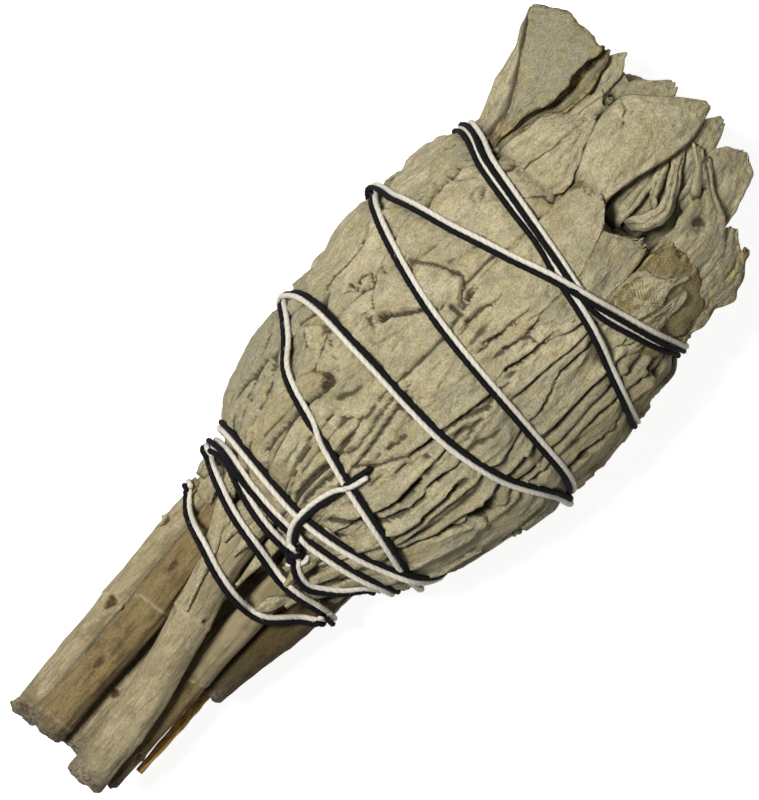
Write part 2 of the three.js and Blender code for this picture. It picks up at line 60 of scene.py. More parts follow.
def outline_at(x, column):
    """The outline's half width or middle at x, smooth through its rows and held beyond its ends."""
    x = np.asarray(x, float)
    last = len(OUTLINE) - 1
    i = np.clip(np.searchsorted(OUTLINE[:, 0], x, side="left") - 1, 0, last - 1)
    a, b, c, d = (OUTLINE[np.clip(i + k, 0, last)] for k in (-1, 0, 1, 2))
    step = c[..., 0] - b[..., 0]
    t = np.clip((x - b[..., 0]) / step, 0, 1)
    start = (c[..., column] - a[..., column]) / (c[..., 0] - a[..., 0]) * step
    end = (d[..., column] - b[..., column]) / (d[..., 0] - b[..., 0]) * step
    rise = c[..., column] - b[..., column]
    bend = start + end - 2 * rise
    return b[..., column] + t * (start + t * (rise - start - bend + t * bend))


def half_width(x):
    return outline_at(x, 1)


def axis_height(x):
    return AXIS_HEIGHT + AXIS_SLOPE * np.asarray(x, float)


def on_bundle(x, angle, lift=0.0):
    """Points at x and an angle from +Y up over the top, lifted off the outline."""
    x, angle, lift = np.broadcast_arrays(np.asarray(x, float), angle, lift)
    half = half_width(x)
    y = outline_at(x, 2) + (half + lift) * np.cos(angle)
    z = axis_height(x) + (FLATNESS * half + lift) * np.sin(angle)
    return np.stack([x, y, z], axis=-1)


def angle_at(x, y):
    """Angle of a place seen from above. Past the bundle's side the excess runs on round it."""
    x, y = np.asarray(x, float), np.asarray(y, float)
    half = half_width(x)
    across = (y - outline_at(x, 2)) / half
    inside = np.arccos(np.clip(across, -1, 1))
    return inside - np.clip(across - 1, 0, None) - np.clip(across + 1, None, 0)


def smooth_step(t):
    t = np.clip(t, 0, 1)
    return t * t * (3 - 2 * t)


# Lines, angles and noise

def bezier_line(points, count):
    """Smooth line through a few points, evenly numbered."""
    points = np.array(points, float)
    t = np.linspace(0, len(points) - 1, count)
    i = np.clip(t.astype(int), 0, len(points) - 2)
    f = (t - i)[:, None]
    last = len(points) - 1
    a, b, c, d = (points[np.clip(i + k, 0, last)] for k in (-1, 0, 1, 2))
    return 0.5 * (2 * b + f * (c - a + f * (2 * a - 5 * b + 4 * c - d + f * (3 * b - a - 3 * c + d))))


def even_line(points, count):
    """Smooth line through a few points, in even steps."""
    fine = bezier_line(points, 200)
    along = np.concatenate([[0], np.cumsum(np.linalg.norm(np.diff(fine[:, :2], axis=0), axis=1))])
    places = np.linspace(0, along[-1], count)
    return np.stack([np.interp(places, along, fine[:, c]) for c in range(fine.shape[1])], axis=1)


def softened(line, width):
    reach = int(3 * width)
    weights = np.exp(-0.5 * (np.arange(-reach, reach + 1) / width) ** 2)
    return np.convolve(np.pad(line, reach, mode="edge"), weights / weights.sum(), mode="valid")


def unit(vectors):
    """Rows of vectors brought to length 1."""
    return vectors / np.linalg.norm(vectors, axis=1, keepdims=True)


def wrapped(turn):
    """An angle brought to within half a turn either way."""
    return (turn + math.pi) % (2 * math.pi) - math.pi


def shares_of(rows, columns):
    """How far along each row lies and how far across each column lies, from 0 to 1."""
    return np.linspace(0, 1, rows)[:, None], np.linspace(0, 1, columns)[None]


def angles_round(columns):
    return np.linspace(0, 2 * math.pi, columns, endpoint=False)[None]


def swept(line, rows):
    """Places, and the two directions across, along a smooth line."""
    places = bezier_line(line, rows)
    along = unit(np.gradient(places, axis=0))
    side = unit(np.cross([0, 0, 1.0], along))
    return places, along, side, np.cross(along, side)


def round_line(places, reach, angle, side, up, flat=1.0):
    """Points round a line at a reach and an angle, pressed flat by a factor."""
    around = np.cos(angle)[..., None] * side[:, None] + flat * np.sin(angle)[..., None] * up[:, None]
    return places[:, None] + reach[..., None] * around


def averaged(noise, rounds):
    """Noise evened out with its four neighbours, a number of times."""
    for _ in range(rounds):
        noise = 0.25 * (np.roll(noise, 1, 0) + np.roll(noise, -1, 0) + np.roll(noise, 1, 1) + np.roll(noise, -1, 1))
    return noise


def softened_noise(rows, columns, rounds):
    noise = averaged(draws.standard_normal((rows, columns)), rounds)
    return noise / noise.std()


# Meshes

def deselect():
    bpy.ops.object.select_all(action="DESELECT")


def activate(piece):
    deselect()
    piece.select_set(True)
    bpy.context.view_layer.objects.active = piece


def sheet_of(name, points, marks=None):
    """An open sheet through a grid of points in mm, with named values at its points."""
    rows, columns = points.shape[:2]
    deselect()
    bpy.ops.mesh.primitive_grid_add(x_subdivisions=columns - 1, y_subdivisions=rows - 1)
    piece = bpy.context.object
    piece.name = name
    piece.data.name = name
    piece.data.vertices.foreach_set("co", (points.reshape(-1, 3) * MM).astype(np.float32).ravel())
    for mark, values in (marks or {}).items():
        layer = piece.data.attributes.new(mark, "FLOAT", "POINT")
        values = np.broadcast_to(np.asarray(values, np.float32), (rows, columns))
        layer.data.foreach_set("value", np.ascontiguousarray(values).ravel())
    while piece.data.uv_layers:
        piece.data.uv_layers.remove(piece.data.uv_layers[0])
    piece.data.update()
    return piece


def close_up(piece, merge=0.002):
    """Seams and poles merged, and normals outwards."""
    activate(piece)
    bpy.ops.object.mode_set(mode="EDIT")
    bpy.ops.mesh.select_all(action="SELECT")
    bpy.ops.mesh.remove_doubles(threshold=merge * MM)
    bpy.ops.mesh.normals_make_consistent(inside=False)
    bpy.ops.object.mode_set(mode="OBJECT")
    bpy.ops.object.shade_smooth()
    return piece


def tube_of(name, points, marks=None):
    """A closed form from rings of points, whose first and last ring are single points."""
    rings = np.concatenate([points, points[:, :1]], axis=1)
    marks = {m: np.concatenate([v, v[:, :1]], axis=1) for m, v in (marks or {}).items()}
    return close_up(sheet_of(name, rings, marks))


def blade_of(name, points, marks, thickness):
    """A leaf blade of an even thickness round a sheet of points."""
    piece = sheet_of(name, points, marks)
    activate(piece)
    wall = piece.modifiers.new("wall", "SOLIDIFY")
    wall.thickness = thickness * MM
    wall.offset = 0
    wall.use_even_offset = False
    bpy.ops.object.modifier_apply(modifier=wall.name)
    return close_up(piece, merge=0.0005)


def joined(name, pieces):
    deselect()
    for piece in pieces:
        piece.select_set(True)
    bpy.context.view_layer.objects.active = pieces[0]
    bpy.ops.object.join()
    pieces[0].name = name
    pieces[0].data.name = name
    return pieces[0]


# Finishes

class Socket:
    """A shader value that can be added, multiplied and so on."""

    def __init__(self, graph, socket):
        self.graph, self.socket = graph, socket

    def _with(self, operation, other, swap=False):
        pair = (other, self) if swap else (self, other)
        return self.graph.node("ShaderNodeMath", {"operation": operation}, {0: pair[0], 1: pair[1]})

    def __add__(self, other):
        return self._with("ADD", other)

    __radd__ = __add__

    def __sub__(self, other):
        return self._with("SUBTRACT", other)

    def __rsub__(self, other):
        return self._with("SUBTRACT", other, swap=True)

    def __mul__(self, other):
        return self._with("MULTIPLY", other)

    __rmul__ = __mul__

    def clamped(self):
        return self.graph.node("ShaderNodeClamp", {}, {"Value": self})

    def over(self, low, high):
        """0 below low, 1 above high, smooth between."""
        return self.graph.node(
            "ShaderNodeMapRange", {"interpolation_type": "SMOOTHSTEP"},
            {"Value": self, "From Min": low, "From Max": high, "To Min": 0.0, "To Max": 1.0},
        )


class Finish:
    """A material and the nodes that are added to it."""

    def __init__(self, name, roughness=0.9):
        self.material = bpy.data.materials.new(name)
        self.material.use_nodes = True
        self.nodes = self.material.node_tree.nodes
        self.links = self.material.node_tree.links
        self.shader = self.nodes["Principled BSDF"]
        self.shader.inputs["Roughness"].default_value = roughness
        self.shader.inputs["Specular IOR Level"].default_value = 0.25

    def put(self, socket, value):
        if isinstance(value, Socket):
            self.links.new(value.socket, socket)
        elif isinstance(value, (tuple, list)) and len(value) == 3 and socket.type == "RGBA":
            socket.default_value = (*value, 1.0)
        else:
            socket.default_value = value

    def node(self, kind, settings, inputs, output=0):
        made = self.nodes.new(kind)
        for setting, value in settings.items():
            setattr(made, setting, value)
        for key, value in inputs.items():
            self.put(made.inputs[key], value)
        return Socket(self, made.outputs[output])

    def mark(self, name):
        return self.node("ShaderNodeAttribute", {"attribute_name": name}, {}, "Fac")

    def place(self, stretch=(1, 1, 1)):
        """Object coordinates in millimetres, drawn out by the given factors."""
        here = self.node("ShaderNodeTexCoord", {}, {}, "Object")
        scale = tuple(1000 / s for s in stretch)
        return self.node("ShaderNodeMapping", {}, {"Vector": here, "Scale": scale})

    def noise(self, size, detail=2.0, rough=0.5, stretch=(1, 1, 1)):
        """Noise from 0 to 1, with features of a size in mm."""
        return self.node(
            "ShaderNodeTexNoise", {},
            {"Vector": self.place(stretch), "Scale": 1 / size, "Detail": detail, "Roughness": rough}, "Fac",
        )

    def mix(self, factor, low, high):
        made = self.nodes.new("ShaderNodeMix")
        made.data_type = "RGBA"
        for socket, value in ((made.inputs[0], factor), (made.inputs[6], low), (made.inputs[7], high)):
            self.put(socket, value)
        return Socket(self, made.outputs[2])

    def bump(self, height, distance, strength=1.0, normal=None):
        inputs = {"Height": height, "Distance": distance * MM, "Strength": strength}
        if normal is not None:
            inputs["Normal"] = normal
        return self.node("ShaderNodeBump", {}, inputs)

    def done(self, colour, normal=None):
        self.put(self.shader.inputs["Base Color"], colour)
        if normal is not None:
            self.put(self.shader.inputs["Normal"], normal)
        return self.material


def leaf_finish():
    """Dried white sage: grey-green felt, yellower in patches, brown at torn edges, with painted shade in the creases.
    """
    f = Finish("sage_felt", 0.95)
    tint, crease_shade = f.mark("tint"), f.mark("crease_shade")
    torn, olive = f.mark("torn"), f.mark("olive")
    patches = f.noise(5.0, 3, 0.6, (2.0, 1, 1))
    speckle = f.noise(0.32, 3, 0.7)
    streaks = f.noise(0.9, 4, 0.65, (1.9, 1, 1))
    felt = f.mix((patches + 0.35 * tint).over(0.3, 0.7), (0.235, 0.222, 0.15), (0.43, 0.382, 0.245))
    yellow, green = f.noise(3.4, 4, 0.7).over(0.47, 0.62), f.noise(2.6, 4, 0.7, (1.5, 1, 1)).over(0.5, 0.64)
    felt = f.mix(yellow * 0.5, felt, (0.31, 0.25, 0.105))
    felt = f.mix(green * 0.5, felt, (0.22, 0.225, 0.155))
    felt = f.mix(olive.clamped(), felt, (0.165, 0.122, 0.04))
    felt = f.mix(streaks.over(0.35, 0.7) * 0.4, felt, (0.235, 0.195, 0.105))
    stains = f.noise(1.1, 4, 0.7, (1.8, 1, 1)).over(0.48, 0.66)
    felt = f.mix(stains * 0.45, felt, (0.17, 0.138, 0.072))
    felt = f.mix(speckle.over(0.44, 0.6) * 0.42, felt, (0.14, 0.112, 0.058))
    pale_specks = f.noise(0.22, 2, 0.7).over(0.5, 0.7)
    felt = f.mix(pale_specks * 0.34, felt, (0.52, 0.485, 0.36))
    grain = f.noise(0.7, 3, 0.65)
    kept = f.noise(2.6, 3, 0.6).over(0.34, 0.6) * 0.75 + 0.25
    worn = (torn * kept + (grain - 0.5) * 0.7).over(0.2, 0.6)
    browned = f.mix(f.noise(1.5, 4, 0.75).over(0.42, 0.6), (0.06, 0.038, 0.016), (0.31, 0.24, 0.09))
    felt = f.mix(worn * 0.8, felt, browned)
    # Painted shade: the felt goes near-black where the crease mark is high, in hollows, at hidden leaf bases and under
    # leaf edges.
    felt = f.mix(crease_shade.over(0.12, 1.0) * 0.86, felt, (0.028, 0.02, 0.011))
    hair = f.noise(0.16, 2, 0.7)
    puckers = f.node(
        "ShaderNodeTexVoronoi", {"feature": "SMOOTH_F1"},
        {"Vector": f.place((1.6, 1, 1)), "Scale": 1 / 0.9, "Smoothness": 0.7}, "Distance",
    )
    wrinkle = f.noise(1.7, 4, 0.68, (1.7, 1, 1))
    relief = f.bump(streaks + 0.8 * puckers + 0.6 * wrinkle, 0.42, 0.9)
    return f.done(felt, f.bump(hair + speckle, 0.16, 0.8, relief))


def bark_finish(name, pale, dark, patch):
    """Dried stem skin with lengthwise grain, pale at the rings and dark in the scars."""
    f = Finish(name, 0.9)
    grain = f.noise(0.5, 4, 0.7, (4, 1, 1))
    fine = f.noise(0.16, 2, 0.6, (1.6, 1, 1))
    blotch = f.noise(2.2, 5, 0.7, (1.8, 1, 1))
    colour = f.mix(grain.over(0.2, 0.5) * 0.5 + 0.5, dark, pale)
    colour = f.mix(blotch.over(0.42, 0.66) * 0.8, colour, patch)
    for specks, share, shade in (
        (f.noise(1.3, 4, 0.7, (1.4, 1, 1)).over(0.54, 0.7), 0.45, [1.3 * c for c in pale]),
        (f.noise(0.3, 3, 0.75).over(0.5, 0.64), 0.5, dark),
        (f.noise(0.4, 4, 0.65, (9, 1, 1)).over(0.54, 0.62), 0.5, [0.7 * c for c in dark]),
        (f.noise(3.5, 4, 0.7, (1.6, 1, 1)).over(0.52, 0.66), 0.6, [0.9 * c for c in dark]),
    ):
        colour = f.mix(specks * share, colour, shade)
    bleached = f.mix(blotch.over(0.4, 0.66), (0.225, 0.19, 0.115), (0.15, 0.125, 0.07))
    colour = f.mix(f.mark("pale").clamped() * 0.8, colour, bleached)
    ring = f.mark("ring").clamped() * f.noise(0.9, 3, 0.6).over(0.3, 0.6)
    colour = f.mix(ring * 0.6, colour, (0.34, 0.29, 0.19))
    notch = f.mark("scar")
    scar = (notch + (f.noise(0.7, 3, 0.6) - 0.5) * 0.5).over(0.2, 0.6)
    deep = (notch + (f.noise(0.5, 3, 0.6) - 0.5) * 1.2).over(0.55, 1.0)
    colour = f.mix(scar, colour, f.mix(deep, (0.14, 0.088, 0.036), (0.045, 0.03, 0.016)))
    cut = f.noise(0.35, 4, 0.75).over(0.38, 0.62)
    colour = f.mix(f.mark("cut").clamped(), colour, f.mix(cut, (0.022, 0.019, 0.018), (0.105, 0.086, 0.06)))
    return f.done(colour, f.bump(grain + 0.6 * fine, 0.18, 0.8))


def stalk_finish():
    f = Finish("dry_stalk_skin", 0.8)
    grain = f.noise(0.35, 4, 0.7, (5, 1, 1))
    colour = f.mix(grain.over(0.3, 0.7), (0.20, 0.10, 0.028), (0.60, 0.36, 0.11))
    return f.done(colour, f.bump(grain, 0.1, 0.7))


def cotton_finish(name, pale, dark):
    """Twisted cotton: fibres run with the ply, with painted shade in the groove between the two plies."""
    f = Finish(name, 0.95)
    f.shader.inputs["Specular IOR Level"].default_value = 0.08
    fibre = f.noise(0.11, 3, 0.7)
    colour = f.mix(fibre.over(0.3, 0.7), dark, pale)
    # Painted shade in the groove between the plies.
    colour = f.mix(f.mark("groove_shade").over(0.3, 1.0) * 0.3, colour, tuple(0.35 * c for c in dark))
    colour = f.mix(f.noise(1.6, 2, 0.5).over(0.5, 0.75) * 0.25, colour, tuple(0.7 * c for c in pale))
    return f.done(colour, f.bump(fibre, 0.06, 0.8))


def dress(piece, finish, slot):
    piece.data.materials.clear()
    piece.data.materials.append(finish)
    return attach(piece, "root")


# The binding's route: turns seen from above, from the right side over the top to the left one, as in the
# part's source. Each has the place along the axis where the pair comes by underneath, how many of its first
# points have the strands swapped, and its points as place along the axis and place across it.

TURNS = [
    (None, 0, [(-34.4, -1), (-34.1, 4), (-33, 9), (-31.2, 13.6)]),
    (-35, 0, [(-39.8, -7.4), (-43, -3.6), (-43.4, 0), (-42.6, 4), (-41.1, 8), (-39.5, 12.2), (-37.2, 14.4)]),
    (-37.6, 0, [(-37.4, -8.4), (-38, -3), (-37, 2), (-35.6, 8), (-33.4, 13.4)]),
    (-27, 3, [(-26.6, -12), (-23.6, -1), (-22, 4), (-20.4, 9), (-18, 14.6), (-13, 19.4)]),
    (-10, 0, [(-4.6, -20.4), (-3.4, -12), (-2.2, -2), (-1, 5), (1.3, 13), (4.5, 19.6), (5.9, 21.7)]),
    (6, 0, [(6.8, -19.6), (11.6, -7), (13, -2), (14.4, 2), (15.4, 7), (16.8, 13), (18.8, 18.2)]),
    (17, 0, [(16.2, -19.2), (14.4, -14.4), (13, -7.6), (14.7, 0), (16.2, 6), (18.0, 13), (19.9, 17.8)]),
    (18.4, 0, [(17.1, -19.2), (15.7, -15.4), (14.3, -10), (12.4, -2), (10.6, 4), (8.6, 12), (7, 19.2),
         (6.4, 21.6)]),
    (-4, 6, [(-7.4, -19.6), (-10, -14), (-11.3, -6), (-11, 1), (-10.3, 8), (-9.7, 18.6)]),
    (-18, 5, [(-26.2, -14.4), (-28.4, -9.6), (-29.8, -4), (-30.2, 2), (-28.6, 14.6)]),
    (-29.2, 3, [(-29.8, -13.2), (-31.2, -8.6), (-32, -3), (-32.4, 2), (-31.8, 9), (-30.6, 13.8)]),
    (-31.4, 0, [(-31.6, -12.6), (-34.4, -9.4), (-36.2, -6), (-35.8, -3.2), (-34.4, -1.6)]),
]
TAIL = (4, [(-33.2, 0.2), (-31.4, 1.3), (-28.6, 1.2), (-25.8, 0.5), (-22.6, -0.5), (-19.6, -1.4)])
KNOT_AT = (-34.0, -1.2)
THREAD_DIAMETER = 0.7
FIBRES = 1700
STRAND_PITCH = 0.72
GIRTH = 18.0
ROUTE_STEP = 0.25


def points_of_turn(number, swapped, over, wound):
    return [np.array([x, float(angle_at(x, y)) - wound, k < swapped, number]) for k, (x, y) in enumerate(over)]


def binding_route():
    """Points as place, angle and whether the strands are swapped, with the number of the turn."""
    route, wound = [], 0.0
    for number, (under, swapped, over) in enumerate(TURNS):
        points = points_of_turn(number, swapped, over, wound)
        if route:
            middle = 0.5 * (route[-1] + points[0])
            middle[0], middle[2] = under, route[-1][2]
            route += [0.5 * (route[-1] + middle), middle, 0.5 * (middle + points[0])]
        route += points
        if number == len(TURNS) - 1:
            route += points_of_turn(number + 1, *TAIL, wound)
        wound += 2 * math.pi
    return np.array(route)


def through(points, step, scale):
    """Evenly spaced points on a smooth curve through the given ones (centripetal Catmull-Rom)."""
    scaled = points * scale
    ends = [2 * scaled[0] - scaled[1], 2 * scaled[-1] - scaled[-2]]
    p = np.vstack([ends[0], scaled, ends[1]])
    made = []
    for k in range(1, len(p) - 2):
        gaps = [max(np.linalg.norm(p[k + j, :3] - p[k + j - 1, :3]) ** 0.5, 1e-4) for j in (0, 1, 2)]
        first = (p[k] - p[k - 1]) / gaps[0] - (p[k + 1] - p[k - 1]) / (gaps[0] + gaps[1])
        first += (p[k + 1] - p[k]) / gaps[1]
        last = (p[k + 1] - p[k]) / gaps[1] - (p[k + 2] - p[k]) / (gaps[1] + gaps[2])
        last += (p[k + 2] - p[k + 1]) / gaps[2]
        first, last = first * gaps[1], last * gaps[1]
        t = np.linspace(0, 1, 60, endpoint=False)[:, None]
        rise = p[k + 1] - p[k]
        made.append(p[k] + t * (first + t * (3 * rise - 2 * first - last + t * (first + last - 2 * rise))))
    fine = np.vstack([*made, p[-2][None]])
    along = np.concatenate([[0], np.cumsum(np.linalg.norm(np.diff(fine[:, :3], axis=0), axis=1))])
    even = np.arange(0, along[-1], step)
    return np.stack([np.interp(even, along, fine[:, c]) for c in range(fine.shape[1])], axis=1) / scale


ROUTE = through(binding_route(), ROUTE_STEP, np.array([1, GIRTH, 3, 1]))

# The pressed leaves of the body, worked out as a field of heights over the outline

X_STEP = 0.3
FIELD_X = np.arange(-41, 26.01, X_STEP)
FIELD_COLUMNS = 480
FIELD_ANGLE = np.linspace(0, 2 * math.pi, FIELD_COLUMNS, endpoint=False)
# From one column to the next on a middling girth
SPACING = 0.25


def blurred(field, along, across):
    """A field smoothed over so many mm along the bundle and round it."""
    margin = 40
    wide = np.pad(field, ((margin, margin), (0, 0)), mode="edge")
    fx = np.fft.fftfreq(wide.shape[0])[:, None]
    fy = np.fft.rfftfreq(wide.shape[1])[None]
    softness = np.exp(-2 * math.pi ** 2 * ((fx * along / X_STEP) ** 2 + (fy * across / SPACING) ** 2))
    return np.fft.irfft2(np.fft.rfft2(wide) * softness, s=wide.shape)[margin:-margin]


def grain_field(along, across):
    """Even random relief with features of these sizes, about from -1 to 1."""
    field = blurred(draws.standard_normal((len(FIELD_X), FIELD_COLUMNS)), along, across)
    return np.clip(field / (2 * field.std()), -1.5, 1.5)


def wander(length, amount):
    """A slow random line over the rows of the field."""
    line = blurred(np.repeat(draws.standard_normal((len(FIELD_X), 1)), 8, axis=1), length, 1)[:, 0]
    return amount * line / (line.std() + 1e-9)


class LeafPile:
    """Leaves laid one over another, each bedding down on those under it."""

    def __init__(self):
        shape = (len(FIELD_X), FIELD_COLUMNS)
        self.height = np.zeros(shape)
        # The dark mark holds painted shade along deep score lines.
        self.marks = {name: np.zeros(shape) for name in ("tint", "torn", "olive", "dark")}
        self.girth = (0.5 * (1 + FLATNESS) * half_width(FIELD_X))[:, None]
        self.long_grain = grain_field(2.6, 0.55)
        self.round_grain = grain_field(1.5, 1.2)
        self.broad_grain = grain_field(4.5, 2.6)

    def lay(self, low, high, **look):
        """Lay a leaf between its lower and upper edge, both as places from above, from base to tip."""
        self.lay_round(*([(x, float(angle_at(x, y))) for x, y in edge] for edge in (low, high)), **look)

    def lay_round(self, low, high, tint=0.0, creases=3, depth=0.35, ragged=0.25, curl=0.15, torn=0.25, olive=0.0,
                  thick=0.45, base=3.0, rough=1.0, sharp=False):
        """Lay a leaf between two edges given as place along the axis and angle."""
        low, high = np.array(low), np.array(high)
        start, tip = max(low[0, 0], high[0, 0]), min(low[-1, 0], high[-1, 0])
        x = FIELD_X[:, None]
        far, near = (
            np.interp(FIELD_X, *edge.T) + (wander(4.0, 0.3) + wander(1.8, 0.35 * ragged)) / self.girth[:, 0]
            for edge in (low, high))
        turn = wrapped(far[:, None] - FIELD_ANGLE[None])
        width = np.clip((far - near)[:, None] * self.girth, 0.05, None)
        inward = turn * self.girth
        share = inward / width
        jag = blurred(draws.standard_normal(self.height.shape), 0.01, 0.5)
        jag = np.repeat(jag[len(FIELD_X) // 2][None], len(FIELD_X), axis=0) / jag.std()
        rounded = 0.3 * np.minimum(width, 7) * (2 * np.clip(share, 0, 1) - 1) ** 2
        to_tip = tip - x + ragged * jag - rounded
        from_base = x - start - rounded
        edge = np.minimum(inward, width - inward)
        if sharp:
            edge = np.minimum(edge, to_tip)
        cover = smooth_step(edge / 0.34 + 0.5) * smooth_step(from_base / base)
        if not sharp:
            cover = cover * smooth_step(to_tip / 4.0)
        shift = draws.integers(0, len(FIELD_X)), draws.integers(0, FIELD_COLUMNS)
        own = 0.20 * np.roll(self.long_grain, shift, (0, 1)) + 0.15 * np.roll(self.round_grain, shift[::-1], (0, 1))
        own = rough * (own + 0.22 * np.roll(self.broad_grain, shift, (0, 1)))
        for k in range(creases):
            at = (k + 0.5 + draws.uniform(-0.3, 0.3)) / creases
            line = at + wander(7, 0.22 / creases)[:, None]
            off = np.abs(share - line) * width
            reach = smooth_step(0.9 + wander(6, 0.7))[:, None]
            own = own - depth * reach * (np.exp(-(off / 0.42) ** 2) - 0.35 * np.exp(-((off - 1.3) / 0.8) ** 2))
        bed = 0.65 * blurred(self.height, 0.8, 0.8) + 0.35 * blurred(self.height, 2.4, 2.4)
        rim = curl * np.exp(-(np.clip(edge, 0, None) / 0.7) ** 2)
        top = np.maximum(bed, self.height - 0.12) + thick + own + rim
        beside = np.exp(-(np.clip(-edge, 0, None) / 0.42) ** 2) * (1 - cover) * smooth_step(from_base / base)
        beside = beside * (edge > -1.4) * smooth_step((tip + 1.0 - x) / 2.0)
        self.height = (self.height - 0.38 * beside) * (1 - cover) + top * cover
        near_edge = np.exp(-(np.clip(edge, 0, None) / 0.55) ** 2)
        near_tip = sharp * np.exp(-(np.clip(to_tip, 0, None) / 0.9) ** 2) * (np.abs(share - 0.5) < 0.5)
        browned = torn * near_edge + 1.6 * torn * near_tip
        for name, value in (("tint", tint), ("torn", browned), ("olive", olive), ("dark", 0)):
            self.marks[name] = self.marks[name] * (1 - cover) + value * cover

    def score(self, points, width, depth, torn=0.0):
        """Press a wandering line into the leaves, browned where torn, with painted shade along deep lines."""
        count = 34
        line = even_line(points, count) + 0.1 * softened_noise(count, 2, 2)
        off = self.distance(np.array([(x, float(angle_at(x, y))) for x, y in line]), 4 * width)
        near = np.exp(-(off / width) ** 2) - 0.3 * np.exp(-((off - 2.2 * width) / width) ** 2)
        self.height = self.height - depth * near
        self.marks["torn"] = np.maximum(self.marks["torn"], torn * np.exp(-(off / (width + 0.16)) ** 2))
        # Painted shade: deep lines raise the dark mark, which darkens the felt along them.
        dark = np.clip((depth - 0.25) / 0.45, 0, 1) * np.exp(-(off / width) ** 4)
        self.marks["dark"] = np.maximum(self.marks["dark"], dark)

    def distance(self, points, reach):
        """Distance in mm from each place to a line of points, up to reach."""
        off = np.full(self.height.shape, reach, float)
        for (xa, aa), (xb, ab) in zip(points[:-1], points[1:]):
            rows = (FIELD_X > min(xa, xb) - reach) & (FIELD_X < max(xa, xb) + reach)
            if not rows.any():
                continue
            girth = self.girth[rows]
            dx = FIELD_X[rows][:, None] - xa
            da = wrapped(FIELD_ANGLE[None] - aa) * girth
            sx, sa = xb - xa, (ab - aa) * girth
            t = np.clip((dx * sx + da * sa) / (sx * sx + sa * sa + 1e-9), 0, 1)
            off[rows] = np.minimum(off[rows], np.hypot(dx - t * sx, da - t * sa))
        return off


def side_rows(pile):
    """Rows of leaves all round, from the crown to the neck."""
    # Where each row starts, and its count, length and half width
    rows = [(9, 11, 22, 6.4), (-2, 11, 27, 6.8), (-12, 10, 28, 7.0), (-22, 10, 29, 6.4), (-33, 11, 27, 5.2)]
    for start, count, length, half in rows:
        first = draws.uniform(0, 360)
        for k in draws.permutation(count):
            middle = math.radians(first + 360 * (k + draws.uniform(-0.2, 0.2)) / count)
            reach = length * draws.uniform(0.85, 1.1)
            begin = start + draws.uniform(-4, 4)
            places = begin + reach * np.array([0, 0.15, 0.45, 0.8, 1])
            shares = np.array([0.45, 0.8, 1, 0.7, 0.12]) * half * draws.uniform(0.85, 1.15)
            girth = 0.95 * half_width(places)
            lean = math.radians(draws.uniform(-14, 14)) * np.array([0, 0.2, 0.5, 0.8, 1])
            low = list(zip(places, middle + lean + shares / girth))
            high = list(zip(places, middle + lean - shares / girth))
            pile.lay_round(
                low, high, tint=draws.uniform(-1, 1), creases=int(draws.integers(1, 4)),
                depth=draws.uniform(0.15, 0.4), ragged=0.3, curl=0.2, torn=0.3,
                olive=max(0, draws.uniform(-0.5, 0.5)), thick=0.5, sharp=True)


